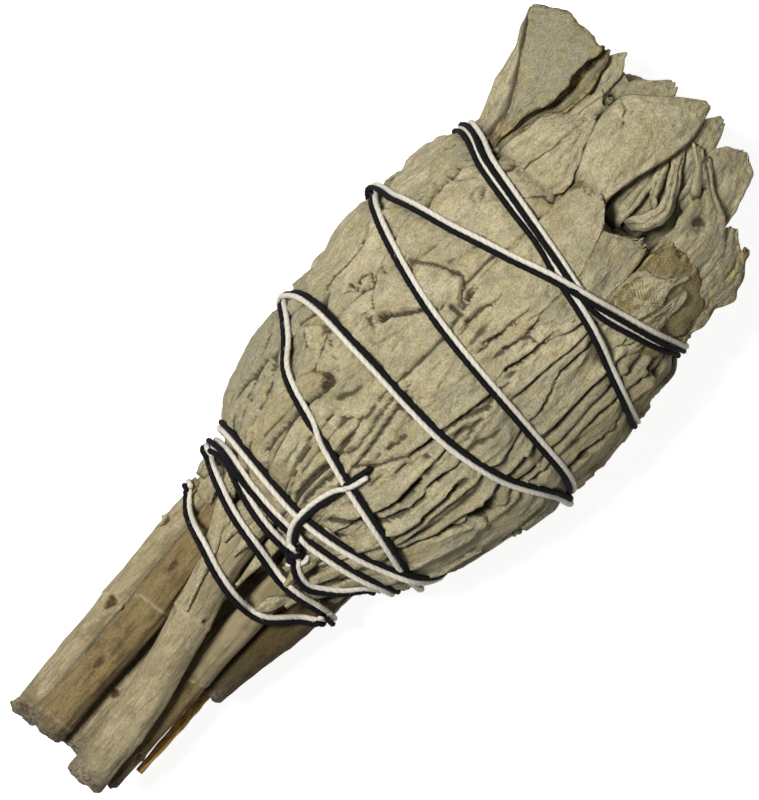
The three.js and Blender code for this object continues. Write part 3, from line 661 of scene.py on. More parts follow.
# Cracks, holes and wrinkles of the body: points from above, width, depth, and how torn
SCORES = [
    ([(-15.6, -14.6), (-14.4, -15.2), (-13, -14.6)], 0.7, 1.6, 0.0),
    ([(-20.4, -6.3), (-18.8, -6.6), (-17, -6.3)], 0.3, 1.1, 0.0),
    ([(1.4, 2.5), (4, 2), (6, 1.2), (11, 0.9)], 0.17, 0.7, 0.55),
    ([(0.6, -0.9), (3, -1.6), (8, -2.4), (12, -3.3)], 0.18, 0.8, 0.6),
    ([(1.8, -3.2), (4.4, -4), (9, -3.9)], 0.17, 0.6, 0.5),
    ([(0, -5.1), (3, -5.9), (9, -6.9), (12, -7.5)], 0.18, 0.8, 0.6),
    ([(-4.8, 16.4), (-4, 15), (-3.6, 15.9), (-2, 15.3), (-2.6, 14.1), (-0.6, 14.6), (-1, 13.6)], 0.16, 0.5, 0.8),
    ([(4.8, 8), (5, 6.4), (4, 5), (5.6, 4.6), (3.4, 4.2)], 0.15, 0.4, 0.8),
    ([(-15, 10.6), (-15.2, 9.8), (-16.4, 9.9)], 0.28, 0.8, 0.4),
    ([(-5.2, 10.2), (-4.4, 9.9), (-2.6, 8.6), (-0.8, 7.4)], 0.22, 0.7, 0.3),
    ([(-5.3, 10.2), (-4.7, 10.0)], 0.3, 1.2, 0.0),
    ([(8.4, 15.6), (10.4, 15.9), (13, 15.6), (15, 15.7), (17, 14.9)], 0.34, 1.6, 0.0),
    ([(-28.5, 2.5), (-25, 2.3), (-22.9, 1.6)], 0.3, 0.6, 0.0),
    ([(-28.8, 3.75), (-26, 3.9), (-22.9, 3.4)], 0.3, 0.6, 0.0),
    ([(-21, 2.7), (-18.5, 2), (-14, 2.6), (-11, 3)], 0.26, 0.5, 0.0),
    ([(-29.6, 5.4), (-26, 6.2), (-22, 7)], 0.28, 0.6, 0.0),
    ([(-21.3, 1.2), (-18.5, -1.6), (-14.1, -3.8), (-11.6, -4.4)], 0.25, 0.5, 0.0),
    ([(-20.6, -1.2), (-17.6, -0.6), (-14, -1.4)], 0.3, 0.3, 0.0),
    ([(-26, 13.6), (-21, 15.2), (-17.4, 17.6)], 0.4, 0.35, 0.0),
    ([(-24, 16.4), (-19, 18.2), (-15, 19.6)], 0.4, 0.35, 0.0),
    ([(-8.6, 17.4), (-5, 18.6), (0, 18.4), (4, 19.4)], 0.3, 0.35, 0.0),
    ([(9, 19.6), (13, 19), (17, 18)], 0.3, 0.4, 0.2),
    ([(-17.6, 12.4), (-13, 11.4), (-9.6, 9.4)], 0.4, 0.2, 0.0),
    ([(-16, 7.8), (-12, 6.6), (-7, 7)], 0.45, 0.2, 0.0),
    ([(1, 13), (6, 11.6), (11, 12.4)], 0.45, 0.2, 0.0),
    ([(5.6, 9), (9, 8), (14, 9)], 0.45, 0.2, 0.0),
    ([(-12, 0.8), (-6, 1.6), (-2, 0.6)], 0.45, 0.18, 0.0),
    ([(-28, -2), (-26, -4.2), (-24, -6.2), (-21, -7.4)], 0.35, 0.8, 0.0),
    ([(-29, -4), (-26.4, -7), (-23.4, -8.8), (-19, -9.6), (-13, -10.6)], 0.35, 0.7, 0.0),
    ([(-27, -8), (-25, -10.4), (-21, -12.6), (-17, -14.4)], 0.3, 0.6, 0.0),
]


def seen_leaves(pile):
    """The leaves of the upper side, by their edges as seen from above, the lowest laid first."""
    lay = pile.lay
    # The leaves low on the -Y side take low tints and some olive: partly their own darker tone, partly painted shade on
    # that side.
    lay([(-40, -12), (-30, -17), (-20, -21), (-8, -24), (6, -24.5)],
        [(-40, -9.5), (-30, -13.5), (-20, -17), (-8, -19), (5, -19.6)], tint=-0.6, creases=2, depth=0.35)
    lay([(-8, -21.6), (2, -22), (8, -21.4), (18, -20)], [(-8, -19.6), (2, -19.2), (9, -18.6), (18, -17.4)],
        tint=-0.9, creases=1, depth=0.5, olive=0.5)
    lay([(-10, -20), (0, -20.6), (6, -20), (17, -18.8)], [(-10, -17), (-2, -17.2), (6, -17.6), (17, -16.4)],
        tint=-0.8, creases=2, depth=0.45, olive=0.45)
    lay([(-38, -10.5), (-28, -14.6), (-20, -17.9), (-14, -19), (-6, -19.6), (0, -19.2)],
        [(-38, -7), (-28, -10.5), (-20, -13.5), (-14, -15.5), (-8, -16.6), (0, -17)],
        tint=-0.5, creases=1, depth=0.25, rough=0.9)
    lay([(-38, -9), (-28, -12.4), (-24, -13.6), (-18, -15.9), (-15, -15.6), (-13.4, -14.4)],
        [(-38, -6), (-28, -8.8), (-20, -10.6), (-16, -12), (-14, -13.4), (-13.2, -14)],
        tint=-0.2, creases=1, depth=0.2, torn=0.5, sharp=True)
    lay([(-16, -16), (-8, -16.4), (-4.7, -17), (4, -17), (12, -17.4), (19, -17)],
        [(-16, -13.4), (-6, -13.6), (0, -13.8), (6, -13.4), (19, -13.4)], tint=-0.6, creases=2, depth=0.4, olive=0.2)
    lay([(-18, -13), (-10, -14.2), (-3, -14.4), (6, -14.1), (17, -14.4)],
        [(-18, -10.6), (-10, -10.2), (-3, -11.2), (3, -10.6), (17, -10.4)], tint=0.0, creases=1, depth=0.3)
    lay([(-38, -7.6), (-27.5, -10), (-24, -11.4), (-20, -12.6), (-14, -13.4), (-8, -13.8), (0, -13.6)],
        [(-38, -4), (-27, -6.5), (-20, -9), (-12, -9.8), (-2, -9)], tint=-0.3, creases=1, depth=0.3)
    lay([(-12, -11.4), (-2, -11.6), (4.6, -10.4), (16, -10.5)], [(-12, -7.8), (-2, -6.6), (2, -6.2), (16, -7)],
        tint=-0.1, creases=2, depth=0.22)
    lay([(-38, -6.4), (-28, -8.6), (-24, -9.8), (-18, -11), (-11, -11.4), (-4, -11)],
        [(-38, -4), (-28, -5.5), (-22, -7.2), (-16, -8.4), (-10, -8.8), (-4, -9.4)],
        tint=0.0, creases=1, depth=0.35, thick=0.6, curl=0.3)
    lay([(-38, -5.2), (-28, -6.8), (-24.5, -8.4), (-20, -9.4), (-13, -9.9)],
        [(-38, -3.6), (-28, -4.6), (-24, -6), (-20, -7), (-13, -9)], tint=0.4, creases=0, thick=0.7, curl=0.35)
    lay([(-36, -3.6), (-28, -5), (-24, -6.4), (-20, -7.4), (-15, -7.6), (-8, -8.6)],
        [(-36, -2), (-28, -2.4), (-23, -4), (-18, -4.6), (-12, -5), (-8, -5.6)], tint=-0.1, creases=1, depth=0.3)
    lay([(-34, -2.4), (-28, -3.6), (-24.5, -5), (-21.5, -6), (-17.5, -6.2), (-12, -6), (-7, -6)],
        [(-34, -0.5), (-28, -0.4), (-22, 0.4), (-16, -1), (-10, -2), (-6, -3)], tint=0.2, creases=1, depth=0.2,
        curl=0.3)
    lay([(-4, -8), (5, -8.4), (17, -8.8)], [(-4, -4.8), (4, -5.6), (17, -6.6)], tint=0.3, creases=1, depth=0.3)
    lay([(-5, -5), (1, -5.2), (4, -6), (8, -6.7), (17, -7.8)], [(-5, -3), (2, -2.8), (8, -3.4), (17, -4)],
        tint=0.5, creases=1, depth=0.25, torn=0.5)
    lay([(-22, -3.4), (-14, -4), (-10.4, -4.8), (-7, -6), (-2.2, -6.4), (2.4, -6.2)],
        [(-24, 2.4), (-14, 3.2), (-6, 4.2), (-2, 4.4), (2.6, 4)], tint=0.1, creases=1, depth=0.12, rough=0.7)
    lay([(-3, -2.6), (2, -3.1), (5, -4.1), (9, -3.9), (16, -3.6)], [(-3, 0), (3, -0.6), (8, -1.4), (16, -2)],
        tint=0.9, creases=1, depth=0.2, torn=0.45, olive=0.15)
    lay([(-3, -0.6), (3, -1.6), (8, -2.3), (16, -3.2)], [(-3, 2.2), (4, 2.2), (8, 1.2), (16, 1)],
        tint=0.7, creases=1, depth=0.2, torn=0.45)
    lay([(-3, 1.8), (1.4, 2.6), (4, 2.1), (6, 1.3), (16, 0.8)], [(-3, 5), (4, 5.6), (10, 6), (16, 5)],
        tint=0.4, creases=1, depth=0.15, torn=0.35)
    lay([(-40, 0.8), (-34, 0.4), (-28, 0.6), (-22, 1.4), (-14, 2.2), (-8, 2.8)],
        [(-40, 3), (-34, 3.4), (-28, 3.6), (-22, 3.2), (-15, 4.2), (-8, 4.6)],
        tint=0.5, creases=1, depth=0.3, curl=0.3)
    lay([(-40, 3), (-34, 2.8), (-28, 3.6), (-23, 3.5), (-14, 3.4)],
        [(-40, 6), (-34, 6), (-28, 6.3), (-22, 6.9), (-14, 6.8)],
        tint=0.8, creases=1, depth=0.3, curl=0.35, olive=0.1)
    lay([(-40, 5), (-34, 5), (-29, 5.6), (-22, 6.9), (-15, 7.4)],
        [(-40, 9), (-34, 8.2), (-28, 8.6), (-22, 10), (-15, 10)],
        tint=0.4, creases=1, depth=0.3, curl=0.3)
    lay([(-40, 13), (-31, 12.6), (-26, 12.8), (-18, 12.4), (-10, 12.6), (-2, 14.6)],
        [(-40, 15), (-31, 15.4), (-27, 18), (-20, 21), (-12, 21.4), (-2, 18.6)], tint=-0.2, creases=1, depth=0.2)
    lay([(-28, 16.4), (-18, 17.2), (-10, 17.8), (-3, 18.4)], [(-28, 20), (-18, 23), (-10, 23.4), (-3, 22.6)],
        tint=-0.5, creases=1, depth=0.25)
    lay([(-18.4, 7.6), (-18, 6.4), (-17.2, 5.2), (-15.5, 4.4), (-11, 4.3), (-7, 3.7), (-2.2, 3.3), (4, 3.6)],
        [(-18.4, 8.4), (-17.6, 10), (-16, 11.4), (-12, 12.6), (-9, 14), (-5, 14.2), (0, 13.6), (4, 12)],
        tint=0.2, creases=1, depth=0.12, base=0.5, rough=0.8)
    lay([(-40, 10), (-34, 9.8), (-28, 10), (-22, 10.6), (-19, 10.7), (-16.6, 9.9), (-15, 10.2)],
        [(-40, 12), (-34, 12.6), (-28, 12.9), (-22, 12.9), (-17, 12.4), (-15.6, 11.4), (-14.8, 10.7)],
        tint=0.6, creases=1, depth=0.3, olive=0.35, torn=0.3, sharp=True)
    lay([(-9.6, 14.6), (-6.6, 16.6), (-5, 15.6), (-3.4, 14), (0, 13.6), (6, 14.4), (12, 15)],
        [(-9.6, 21), (-6, 22.6), (0, 23.4), (6, 23), (12, 21.6)], tint=0.1, creases=2, depth=0.2, torn=0.4)
    lay([(-5.6, 10.1), (-4.6, 10.1), (-1, 7.5), (0.5, 5.9), (4, 5.7), (9.5, 5.5), (11.5, 4.5), (15, 4.2), (20, 4.6)],
        [(-5.6, 11), (-4, 13), (0, 14.8), (8, 16.2), (15, 16.2), (20, 14.8)],
        tint=0.2, creases=1, depth=0.12, base=0.4, rough=0.8)
    lay([(-0.4, 7.6), (0.6, 6), (2.2, 4), (3.4, 4.4), (5, 5.8)], [(-0.4, 9), (1, 11), (2.6, 11.6), (4.4, 9), (5.2, 7)],
        tint=0.3, creases=0, torn=0.35, curl=0.3, base=0.4, sharp=True)
    lay([(7.6, 15.8), (9, 15.8), (12, 15.7), (15, 15.8), (20, 14.4)],
        [(7, 22.6), (11, 23), (15, 21.6), (20, 19.6)], tint=0.3, creases=1, depth=0.2, base=2.0)
    lay([(-14.2, 13.2), (-13.6, 12.4), (-12.4, 12.6), (-10.4, 12)],
        [(-14, 16.6), (-12.6, 17.2), (-11, 16.4), (-10.2, 14)],
        tint=0.3, creases=0, torn=0.6, curl=0.3, base=0.3, sharp=True)
    for points, width, depth, torn in SCORES:
        pile.score(points, width, depth, torn)


def body_field():
    """The finished field: leaves all round, the seen ones over them, pressed in under the binding."""
    pile = LeafPile()
    side_rows(pile)
    seen_leaves(pile)
    broad = blurred(pile.height, 4.5, 4.5)
    pile.height = pile.height - broad + 0.16 * (broad - broad.mean()) - 0.15
    off, reach, stride = np.full(pile.height.shape, 9.0), 3.0, 4
    for k in range(0, len(ROUTE) - stride, stride):
        off = np.minimum(off, pile.distance(ROUTE[[k, k + stride], :2], reach))
    pile.height = pile.height - 0.50 * np.exp(-(off / 1.0) ** 2) + 0.10 * np.exp(-((off - 2.4) / 0.8) ** 2)
    return pile


def leaf_body(pile):
    """The body of pressed leaves as one closed form, finer on the side that shows most."""
    field = pile.height
    hollow = -9.5 * smooth_step((-28.5 - FIELD_X) / 11.0) - 10.5 * smooth_step((FIELD_X - 17.5) / 8.5) ** 1.4
    hollow = hollow - 1.0 * np.exp(-((FIELD_X + 30.5) / 3) ** 2)
    # Painted shade: the crease mark rises where the field lies below its blurred self, towards both ends where the body
    # runs under the stems and the crown leaves, and along deep score lines.
    crease_shade = np.clip((blurred(field, 0.45, 0.45) - field - 0.05) / 0.16, 0, 1)
    crease_shade = np.clip(crease_shade + 0.6 * np.clip((blurred(field, 1.6, 1.6) - field - 0.12) / 0.6, 0, 1), 0, 1)
    crease_shade = np.clip(crease_shade + 0.9 * smooth_step((-31 - FIELD_X) / 6)[:, None], 0, 1)
    crease_shade = np.clip(crease_shade + 0.8 * smooth_step((FIELD_X - 21) / 4)[:, None], 0, 1)
    crease_shade = np.maximum(crease_shade, pile.marks.pop("dark"))
    degrees = np.degrees(FIELD_ANGLE)
    fine = (degrees < 204) | (degrees > 336)
    keep = np.flatnonzero(fine | (np.arange(FIELD_COLUMNS) % 2 == 0))
    x, angle = np.meshgrid(FIELD_X, FIELD_ANGLE[keep], indexing="ij")
    points = on_bundle(x, angle, (field + hollow[:, None])[:, keep])
    points[..., 2] = np.maximum(points[..., 2], 0.05)
    first, last = points[:1], points[-1:]
    middles = [end.mean(axis=1, keepdims=True) for end in (first, last)]
    inner = [middle + (end - middle) * 0.5 for middle, end in zip(middles, (first, last))]
    caps = [np.repeat(middle, len(keep), 1) for middle in middles]
    rings = [caps[0], inner[0], points, inner[1], caps[1]]
    marks = {"crease_shade": crease_shade[:, keep]}
    for name, values in pile.marks.items():
        marks[name] = values[:, keep]
    marks = {m: np.concatenate([v[:1], v[:1], v, v[-1:], v[-1:]]) for m, v in marks.items()}
    return tube_of("leaf_body", np.concatenate(rings), marks)


# Free blades

CROWN_WALL, TIP_WALL, PLEAT_WALL, ROLLED_WALL = 0.42, 0.4, 0.35, 0.34


def free_blade(rib, half, face, tint, olive):
    """A crown leaf standing by itself: its midrib, half width, the way it faces, and its colours."""
    rows, columns = 36, 21
    widths = (0.5, 0.85, 1, 0.95, 0.8, 0.5, 0.12)
    rise, wave, ragged, torn = -0.9, 0.5, 0.25, 0.3
    line = bezier_line(rib, rows)
    along = unit(np.gradient(line, axis=0))
    across = unit(np.cross(np.array(face, float)[None], along))
    out = np.cross(along, across)
    s = np.linspace(0, 1, rows)[:, None]
    t = np.linspace(-1, 1, columns)[None]
    width = half * np.interp(s, np.linspace(0, 1, len(widths)), widths)
    wobble = np.cumsum(draws.standard_normal((rows, 2)), axis=0) * 0.10 * ragged
    width = width * (1 + np.where(t > 0, wobble[:, :1], wobble[:, 1:]) * np.abs(t) ** 3)
    tip_jag = np.interp(t, np.linspace(-1, 1, 13), draws.uniform(-1, 1, 13)) * ragged * 1.6
    bend = rise * (np.abs(t) ** 1.6) * (0.35 + 0.65 * s)
    bend = bend - 0.28 * np.exp(-(t / 0.09) ** 2) * (1 - 0.6 * s)
    waves = np.zeros((rows, columns))
    for _ in range(5):
        phase, angle = draws.uniform(0, 6.3), draws.uniform(-0.7, 0.7)
        pitch = draws.uniform(0.9, 2.8)
        waves += np.sin(2 * math.pi * pitch * (s * math.cos(angle) + 0.5 * t * math.sin(angle)) + phase)
    bend = bend + wave * waves / 5 * (0.4 + np.abs(t))
    bend = bend + 0.35 * averaged(draws.standard_normal((rows, columns)), 3)
    points = line[:, None] + across[:, None] * (width * t)[..., None] + out[:, None] * bend[..., None]
    points += along[:, None] * (tip_jag * smooth_step((s - 0.86) / 0.14))[..., None]
    edge = np.maximum(np.abs(t) ** 8 * np.ones_like(s), smooth_step((s - 0.9) / 0.1) * np.ones_like(t))
    # Painted shade at the leaf's base and along its midrib, through the crease mark.
    base_shade = 0.85 * (1 - smooth_step(s / 0.22)) * np.ones_like(t)
    crease_shade = base_shade + 0.25 * np.exp(-(t / 0.07) ** 2)
    marks = {"tint": tint, "olive": olive, "torn": torn * edge, "crease_shade": crease_shade}
    return blade_of("crown_leaf", points, marks, CROWN_WALL)


CROWN_TOP, CROWN_START = 36.2, 24
CROWN_FALL_ACROSS, CROWN_FALL_ALONG = 0.029, 0.018


def crown_height(x, y):
    """Height of the crown's outermost leaves over a place seen from above."""
    beyond = np.clip(x - CROWN_START, 0, None)
    return CROWN_TOP - CROWN_FALL_ACROSS * y ** 2 - CROWN_FALL_ALONG * beyond ** 2


def traced_blade(low, high, bulge=0.8, bow=0.6, ragged=0.15, wave=0.22, tint=0.0, olive=0.0, torn=0.25,
                 curl=0.25, creases=2, dark=0.7, low_edge_shade=0.0, tears=()):
    """A crown leaf between two edges, each point with its place from above and height over the crown."""
    rows, columns = 56, 38
    s, t = shares_of(rows, columns)
    edges = [even_line(edge, rows)[:, None] for edge in (low, high)]
    place = edges[0] * (1 - t[..., None]) + edges[1] * t[..., None]
    x, y, lift = place[..., 0], place[..., 1], place[..., 2]
    jag = ragged * (softened_noise(1, columns, 14) + 0.35 * softened_noise(1, columns, 1))
    x = x + (bow * 4 * t * (1 - t) + jag) * smooth_step((s - 0.75) / 0.25)
    width = np.linalg.norm(edges[1] - edges[0], axis=2)
    edge = np.minimum(t, 1 - t) * width
    y = y + np.where(t > 0.5, 1, -1) * ragged * 0.5 * softened_noise(rows, 1, 6) * smooth_step(1 - edge / 1.2)
    arch = np.sqrt(np.clip(4 * t * (1 - t), 0, 1)) * (0.35 + 0.65 * np.sin(math.pi * np.clip(s, 0, 1)) ** 0.6)
    z = crown_height(x, y) + lift + bulge * arch + curl * np.exp(-(edge / 0.6) ** 2)
    waves = np.zeros((rows, columns))
    for _ in range(5):
        turn, phase, pitch = draws.uniform(-0.8, 0.8), draws.uniform(0, 6.3), draws.uniform(0.8, 3.0)
        waves += np.sin(2 * math.pi * pitch * (s * math.sin(turn) + t * math.cos(turn)) + phase)
    z = z + 0.7 * wave * waves / 3 + 0.05 * softened_noise(rows, columns, 2)
    # Painted shade along each crease.
    shade = np.zeros((rows, columns))
    for k in range(creases):
        at = (k + 0.5 + draws.uniform(-0.3, 0.3)) / creases + 0.08 * np.sin(3 * s + draws.uniform(0, 6))
        near = np.exp(-((t - at) * width / 0.35) ** 2) * smooth_step(1.2 - 1.4 * s)
        z = z - 0.28 * near
        shade = np.maximum(shade, 0.4 * near)
    # Painted shade along the lower edge.
    shade = np.maximum(shade, low_edge_shade * np.exp(-(t * width / 0.7) ** 2))
    worn = np.maximum(np.exp(-(edge / 0.28) ** 2), smooth_step((s - 0.95) / 0.05) * np.ones_like(t))
    for points, reach in tears:
        spine = even_line(points, 24)[:, :2] + 0.12 * softened_noise(24, 2, 2)
        off = np.min(np.hypot(x[..., None] - spine[:, 0], y[..., None] - spine[:, 1]), axis=2)
        z = z - min(0.8, 2.5 * reach) * np.exp(-(off / reach) ** 2)
        # Painted shade in the tears.
        shade = np.maximum(shade, 1.3 * np.exp(-(off / reach) ** 2))
        worn = np.maximum(worn, np.exp(-((off - 1.6 * reach) / reach) ** 2))
    # Painted shade at the leaf's base, set by dark.
    crease_shade = np.maximum(shade, dark * (1 - smooth_step(s / 0.2)) * np.ones_like(t))
    marks = {"tint": tint, "olive": olive, "torn": torn * worn, "crease_shade": crease_shade}
    return blade_of("crown_leaf", np.stack([x, y, z], axis=-1), marks, CROWN_WALL)


def rolled_blade(line, radius, tint):
    """A leaf rolled up along itself, open at its end."""
    rows, columns = 30, 26
    places, along, side, up = swept(line, rows)
    s = np.linspace(0, 1, rows)[:, None]
    turn = np.linspace(0.3, 7.4, columns)[None]
    spiral = 0.78 + 0.05 * turn + 0.03 * softened_noise(rows, columns, 3)
    reach = radius * spiral * (0.7 + 0.3 * smooth_step(s / 0.4))
    points = round_line(places, reach, turn, side, up, flat=0.85)
    points[..., 0] += 0.3 * smooth_step((s - 0.8) / 0.2) * softened_noise(1, columns, 6)
    rim = smooth_step((s - 0.93) / 0.07)
    # Painted shade inside the roll towards its base, through the crease mark.
    marks = {"tint": tint, "olive": 0.0, "torn": 0.8 * rim, "crease_shade": 0.8 * (1 - smooth_step(s / 0.3))}
    return blade_of("rolled", points, marks, ROLLED_WALL)


# Crown leaves that show, by their lower and upper edge seen from above and the height over the crown
# The dark setting paints shade at a leaf's base, and the low edge setting paints shade along its lower edge.
CROWN = [
    ([(18, 5, -9), (30, 4, -7), (38, 3, -7)], [(18, 12, -9), (30, 12, -7), (37, 10, -7)], {"tint": -0.8, "dark": 1.0}),
    ([(18, -8, -9), (28, -9, -7), (37, -7, -6)], [(18, 2, -9), (28, 0, -7), (38, -2, -6)], {"tint": -0.9, "dark": 1.0}),
    ([(24, 1.5, -5), (34, 2, -2.4), (37.5, 3.1, -2), (39.6, 2, -2)],
     [(24, 7, -5), (34, 6.6, -2.4), (37, 7, -2), (40, 4, -2)],
     {"tint": -0.2, "dark": 0.9}),
    ([(24, 6.4, -5), (33, 6.8, -2.6), (36.8, 6.9, -2.2)], [(24, 10, -5), (33.5, 10.4, -2.6), (36.4, 10.6, -2.2)],
     {"tint": -0.4, "dark": 0.9, "bulge": 0.5}),
    ([(26, 8.4, -4), (34.5, 8.6, -1.6), (37, 8.8, -1.4), (38.4, 9.6, -1.4)],
     [(26, 11, -4), (34.5, 11.2, -1.6), (36.5, 11.7, -1.4), (38.6, 10.4, -1.4)], {"tint": 0.2, "torn": 0.4}),
    ([(23, -6.4, -5), (30, -6.6, -3.6), (37, -6, -1.6), (39, -5.6, -1.4), (40.6, -5, -1.6)],
     [(23, -2, -5), (30, -1.8, -3.6), (36.5, -2.8, -1.6), (38.8, -2.6, -1.4), (40.6, -3.6, -1.6)],
     {"tint": -0.1, "bulge": 0.9, "dark": 1.0}),
    ([(22, -3.3, -4), (25, -3.6, -2.8), (31, -3.4, -2.6)], [(22, -1.6, -4), (25, -1.2, -2.8), (31, -1.6, -2.4)],
     {"tint": 0, "bulge": 0.6, "creases": 1, "dark": 1.0}),
    ([(23.4, -5, -3.6), (25, -6.6, -2.8), (27.6, -7.4, -2.2), (31, -6, -1.6), (35, -3.5, -1.4)],
     [(23.6, -3.6, -3.4), (25.6, -5, -2.4), (28, -5.8, -1.8), (31, -4.4, -1.2), (34.6, -2.2, -1.2)],
     {"tint": 0.1, "bulge": 0.7, "creases": 0}),
    ([(26.6, -6, -3), (29, -4.6, -2.2), (32.6, -3.2, -1.8)], [(27.6, -4.6, -3), (29.4, -3.2, -2), (32.2, -2, -1.6)],
     {"tint": 0.3, "bulge": 0.6, "creases": 0}),
    ([(28, -13.4, -2.6), (33, -13.2, -1.6), (36, -12.4, -1), (38.6, -11.7, -0.8), (39.8, -9.8, -0.8)],
     [(30, -6.6, -2.4), (34, -6.2, -1.4), (37, -6, -1), (38.8, -7, -0.8), (39.9, -8.4, -0.8)],
     {"tint": 0.1, "bulge": 0.7, "bow": 0.3}),
    ([(17, -19.4, -0.8), (22, -19.5, -0.4), (26, -20.2, 0), (29, -19, 0.2), (30.4, -17.6, 0.3)],
     [(17, -18, -0.8), (22, -18.2, -0.2), (25, -17.4, 0.1), (27.5, -18.1, 0.3), (30.4, -17.1, 0.4)],
     {"tint": -0.2, "torn": 1.0, "ragged": 0.4, "bulge": 0.3, "bow": 0.1, "olive": 0.2}),
    ([(20, -19, -1.4), (25, -18.8, -0.8), (29, -18.2, -0.7), (31, -16.6, -0.7), (32, -15, -0.8)],
     [(20, -13.6, -1.2), (25, -13.4, -0.7), (29, -13.4, -0.7), (31.6, -13.6, -0.8)],
     {"tint": -0.2, "bulge": 0.8, "bow": 0.2, "wave": 0.4, "torn": 0.4}),
    ([(20, -15.8, -1.8), (24, -15.8, -0.6), (28, -15.6, -0.2), (31.4, -13.6, -0.2), (33.4, -10, -0.3),
      (35.4, -7, -0.4)],
     [(20, -8.3, -1.6), (24, -8.5, -0.4), (28, -8.7, 0.1), (31.6, -7.7, 0.2), (34.3, -5.9, 0), (36.4, -3.5, -0.4)],
     {"tint": 0, "bulge": 0.7, "bow": 0.4, "wave": 0.55, "torn": 0.55, "ragged": 0.25, "creases": 3,
      "tears": [([(29.1, -10.2), (29.6, -10.5), (29.9, -11.1)], 0.5), ([(31.2, -8.2), (32.2, -8.6),
                (33.4, -8.3)], 0.28)]}),
    ([(19, 5.4, -2.6), (22, 4.2, -0.4), (24, 4.9, 0.0), (26, 5.6, 0.2), (28, 6.4, 0.3), (30.2, 7, 0.3)],
     [(19, 9.6, -2.4), (22, 9.4, -0.2), (24.6, 8.8, 0.2), (27, 8.5, 0.4), (29, 8.3, 0.4), (30.3, 7.8, 0.4)],
     {"tint": 0.4, "bulge": 0.5, "bow": 0.2, "dark": 0.9}),
    ([(26, 7.2, -2), (29, 7.4, -0.9), (31.6, 7.3, -0.5), (33.4, 7.5, -0.5)],
     [(26, 9.6, -2), (29, 10.1, -0.9), (31.6, 9.9, -0.5), (33.4, 8.4, -0.5)],
     {"tint": 0, "bulge": 1.3, "bow": 0.1, "creases": 0, "dark": 0.9}),
    ([(19, 9.8, -2), (21.5, 9.6, 0.2), (24, 8.9, 0.5), (27, 8.6, 0.7), (29.8, 8.2, 0.7)],
     [(19, 13.2, -2), (21.5, 13.3, 0.0), (24, 12.6, 0.4), (26.5, 12.2, 0.6), (28.2, 10.6, 0.7), (29.9, 8.8, 0.7)],
     {"tint": 0.3, "bulge": 0.6, "bow": 0.1, "dark": 0.9}),
    ([(21.5, -1.4, -3), (24, -0.4, 0.1), (27, -0.9, 0.3), (30, -1.6, 0.4), (33, -2.6, 0.4), (36, -3, 0.3),
      (39, -2.7, 0),
      (41.1, -2.2, -0.2)],
     [(21.5, 3.6, -3), (24.4, 4.6, -0.1), (27, 5.8, 0.3), (30, 6.7, 0.5), (33, 6.9, 0.5), (35.3, 6.3, 0.4),
      (37.5, 3.6, 0.2),
      (39.8, 0.8, -0.1), (41.3, -1.4, -0.2)],
     {"tint": 0.5, "bulge": 1.5, "bow": 0.0, "ragged": 0.06, "torn": 0.2, "creases": 1, "wave": 0.2, "dark": 1.0,
      "tears": [([(31.9, 4), (32.9, 4.9), (33.5, 5.2), (34.3, 6.4)], 0.15)]}),
    ([(19.4, 13, -1.8), (22, 13, -0.4), (26.4, 12.3, -0.6), (28.3, 10.8, -0.6), (30, 10.3, -0.5), (33, 10.4, -0.3),
      (35.6, 10.7, -0.2), (37.6, 11.3, 0)],
     [(19.4, 14.6, -1.8), (22, 14.7, -0.4), (27, 13.8, -0.6), (29.5, 13.4, -0.4), (33, 13.2, -0.2), (35.6, 13.2, 0),
      (37.6, 12.8, 0.2)],
     {"tint": -0.5, "bulge": -0.5, "bow": 0.2, "torn": 0.9, "olive": 0.3, "ragged": 0.2, "curl": 0.9, "dark": 0.8,
      "creases": 4, "tears": [([(28, 12.2), (31, 11.9), (36.4, 12.2)], 0.2)]}),
    ([(19.4, 15.6, -2), (24, 15.9, 1.2), (27, 17.3, 2.2), (30, 18.9, 3.4), (33, 21, 4.6), (35.6, 22.3, 5.4)],
     [(19.6, 17.4, -2.4), (23.4, 18.6, -0.2), (25.4, 19.4, 0.6), (28, 20, 1.6), (31, 20.7, 2.8), (33.5, 21.8, 4),
      (35.8, 22.6, 5)],
     {"tint": 0.2, "bulge": 0.3, "bow": 0.1, "torn": 0.5, "ragged": 0.12, "curl": 0.1, "creases": 1, "low_edge_shade": 1.0}),
    ([(19.4, 14.2, -2), (23, 14.3, 0.9), (25.6, 13.9, 1.5), (28, 12.7, 1.9), (30.5, 12.7, 2.2), (33, 12.9, 2.4),
      (35.5, 12.7, 2.4), (38, 12.4, 2.4)],
     [(19.4, 15.6, -2), (24, 15.8, 1.9), (27, 17.3, 3.2), (30, 18.9, 4.6), (33, 20.8, 5.9), (35.4, 22.1, 6.4),
      (36.5, 22.4, 6.4)],
     {"tint": -0.7, "bulge": 0.4, "bow": 0.9, "torn": 0.95, "ragged": 0.22, "curl": 0.3, "creases": 2, "wave": 0.3}),
]


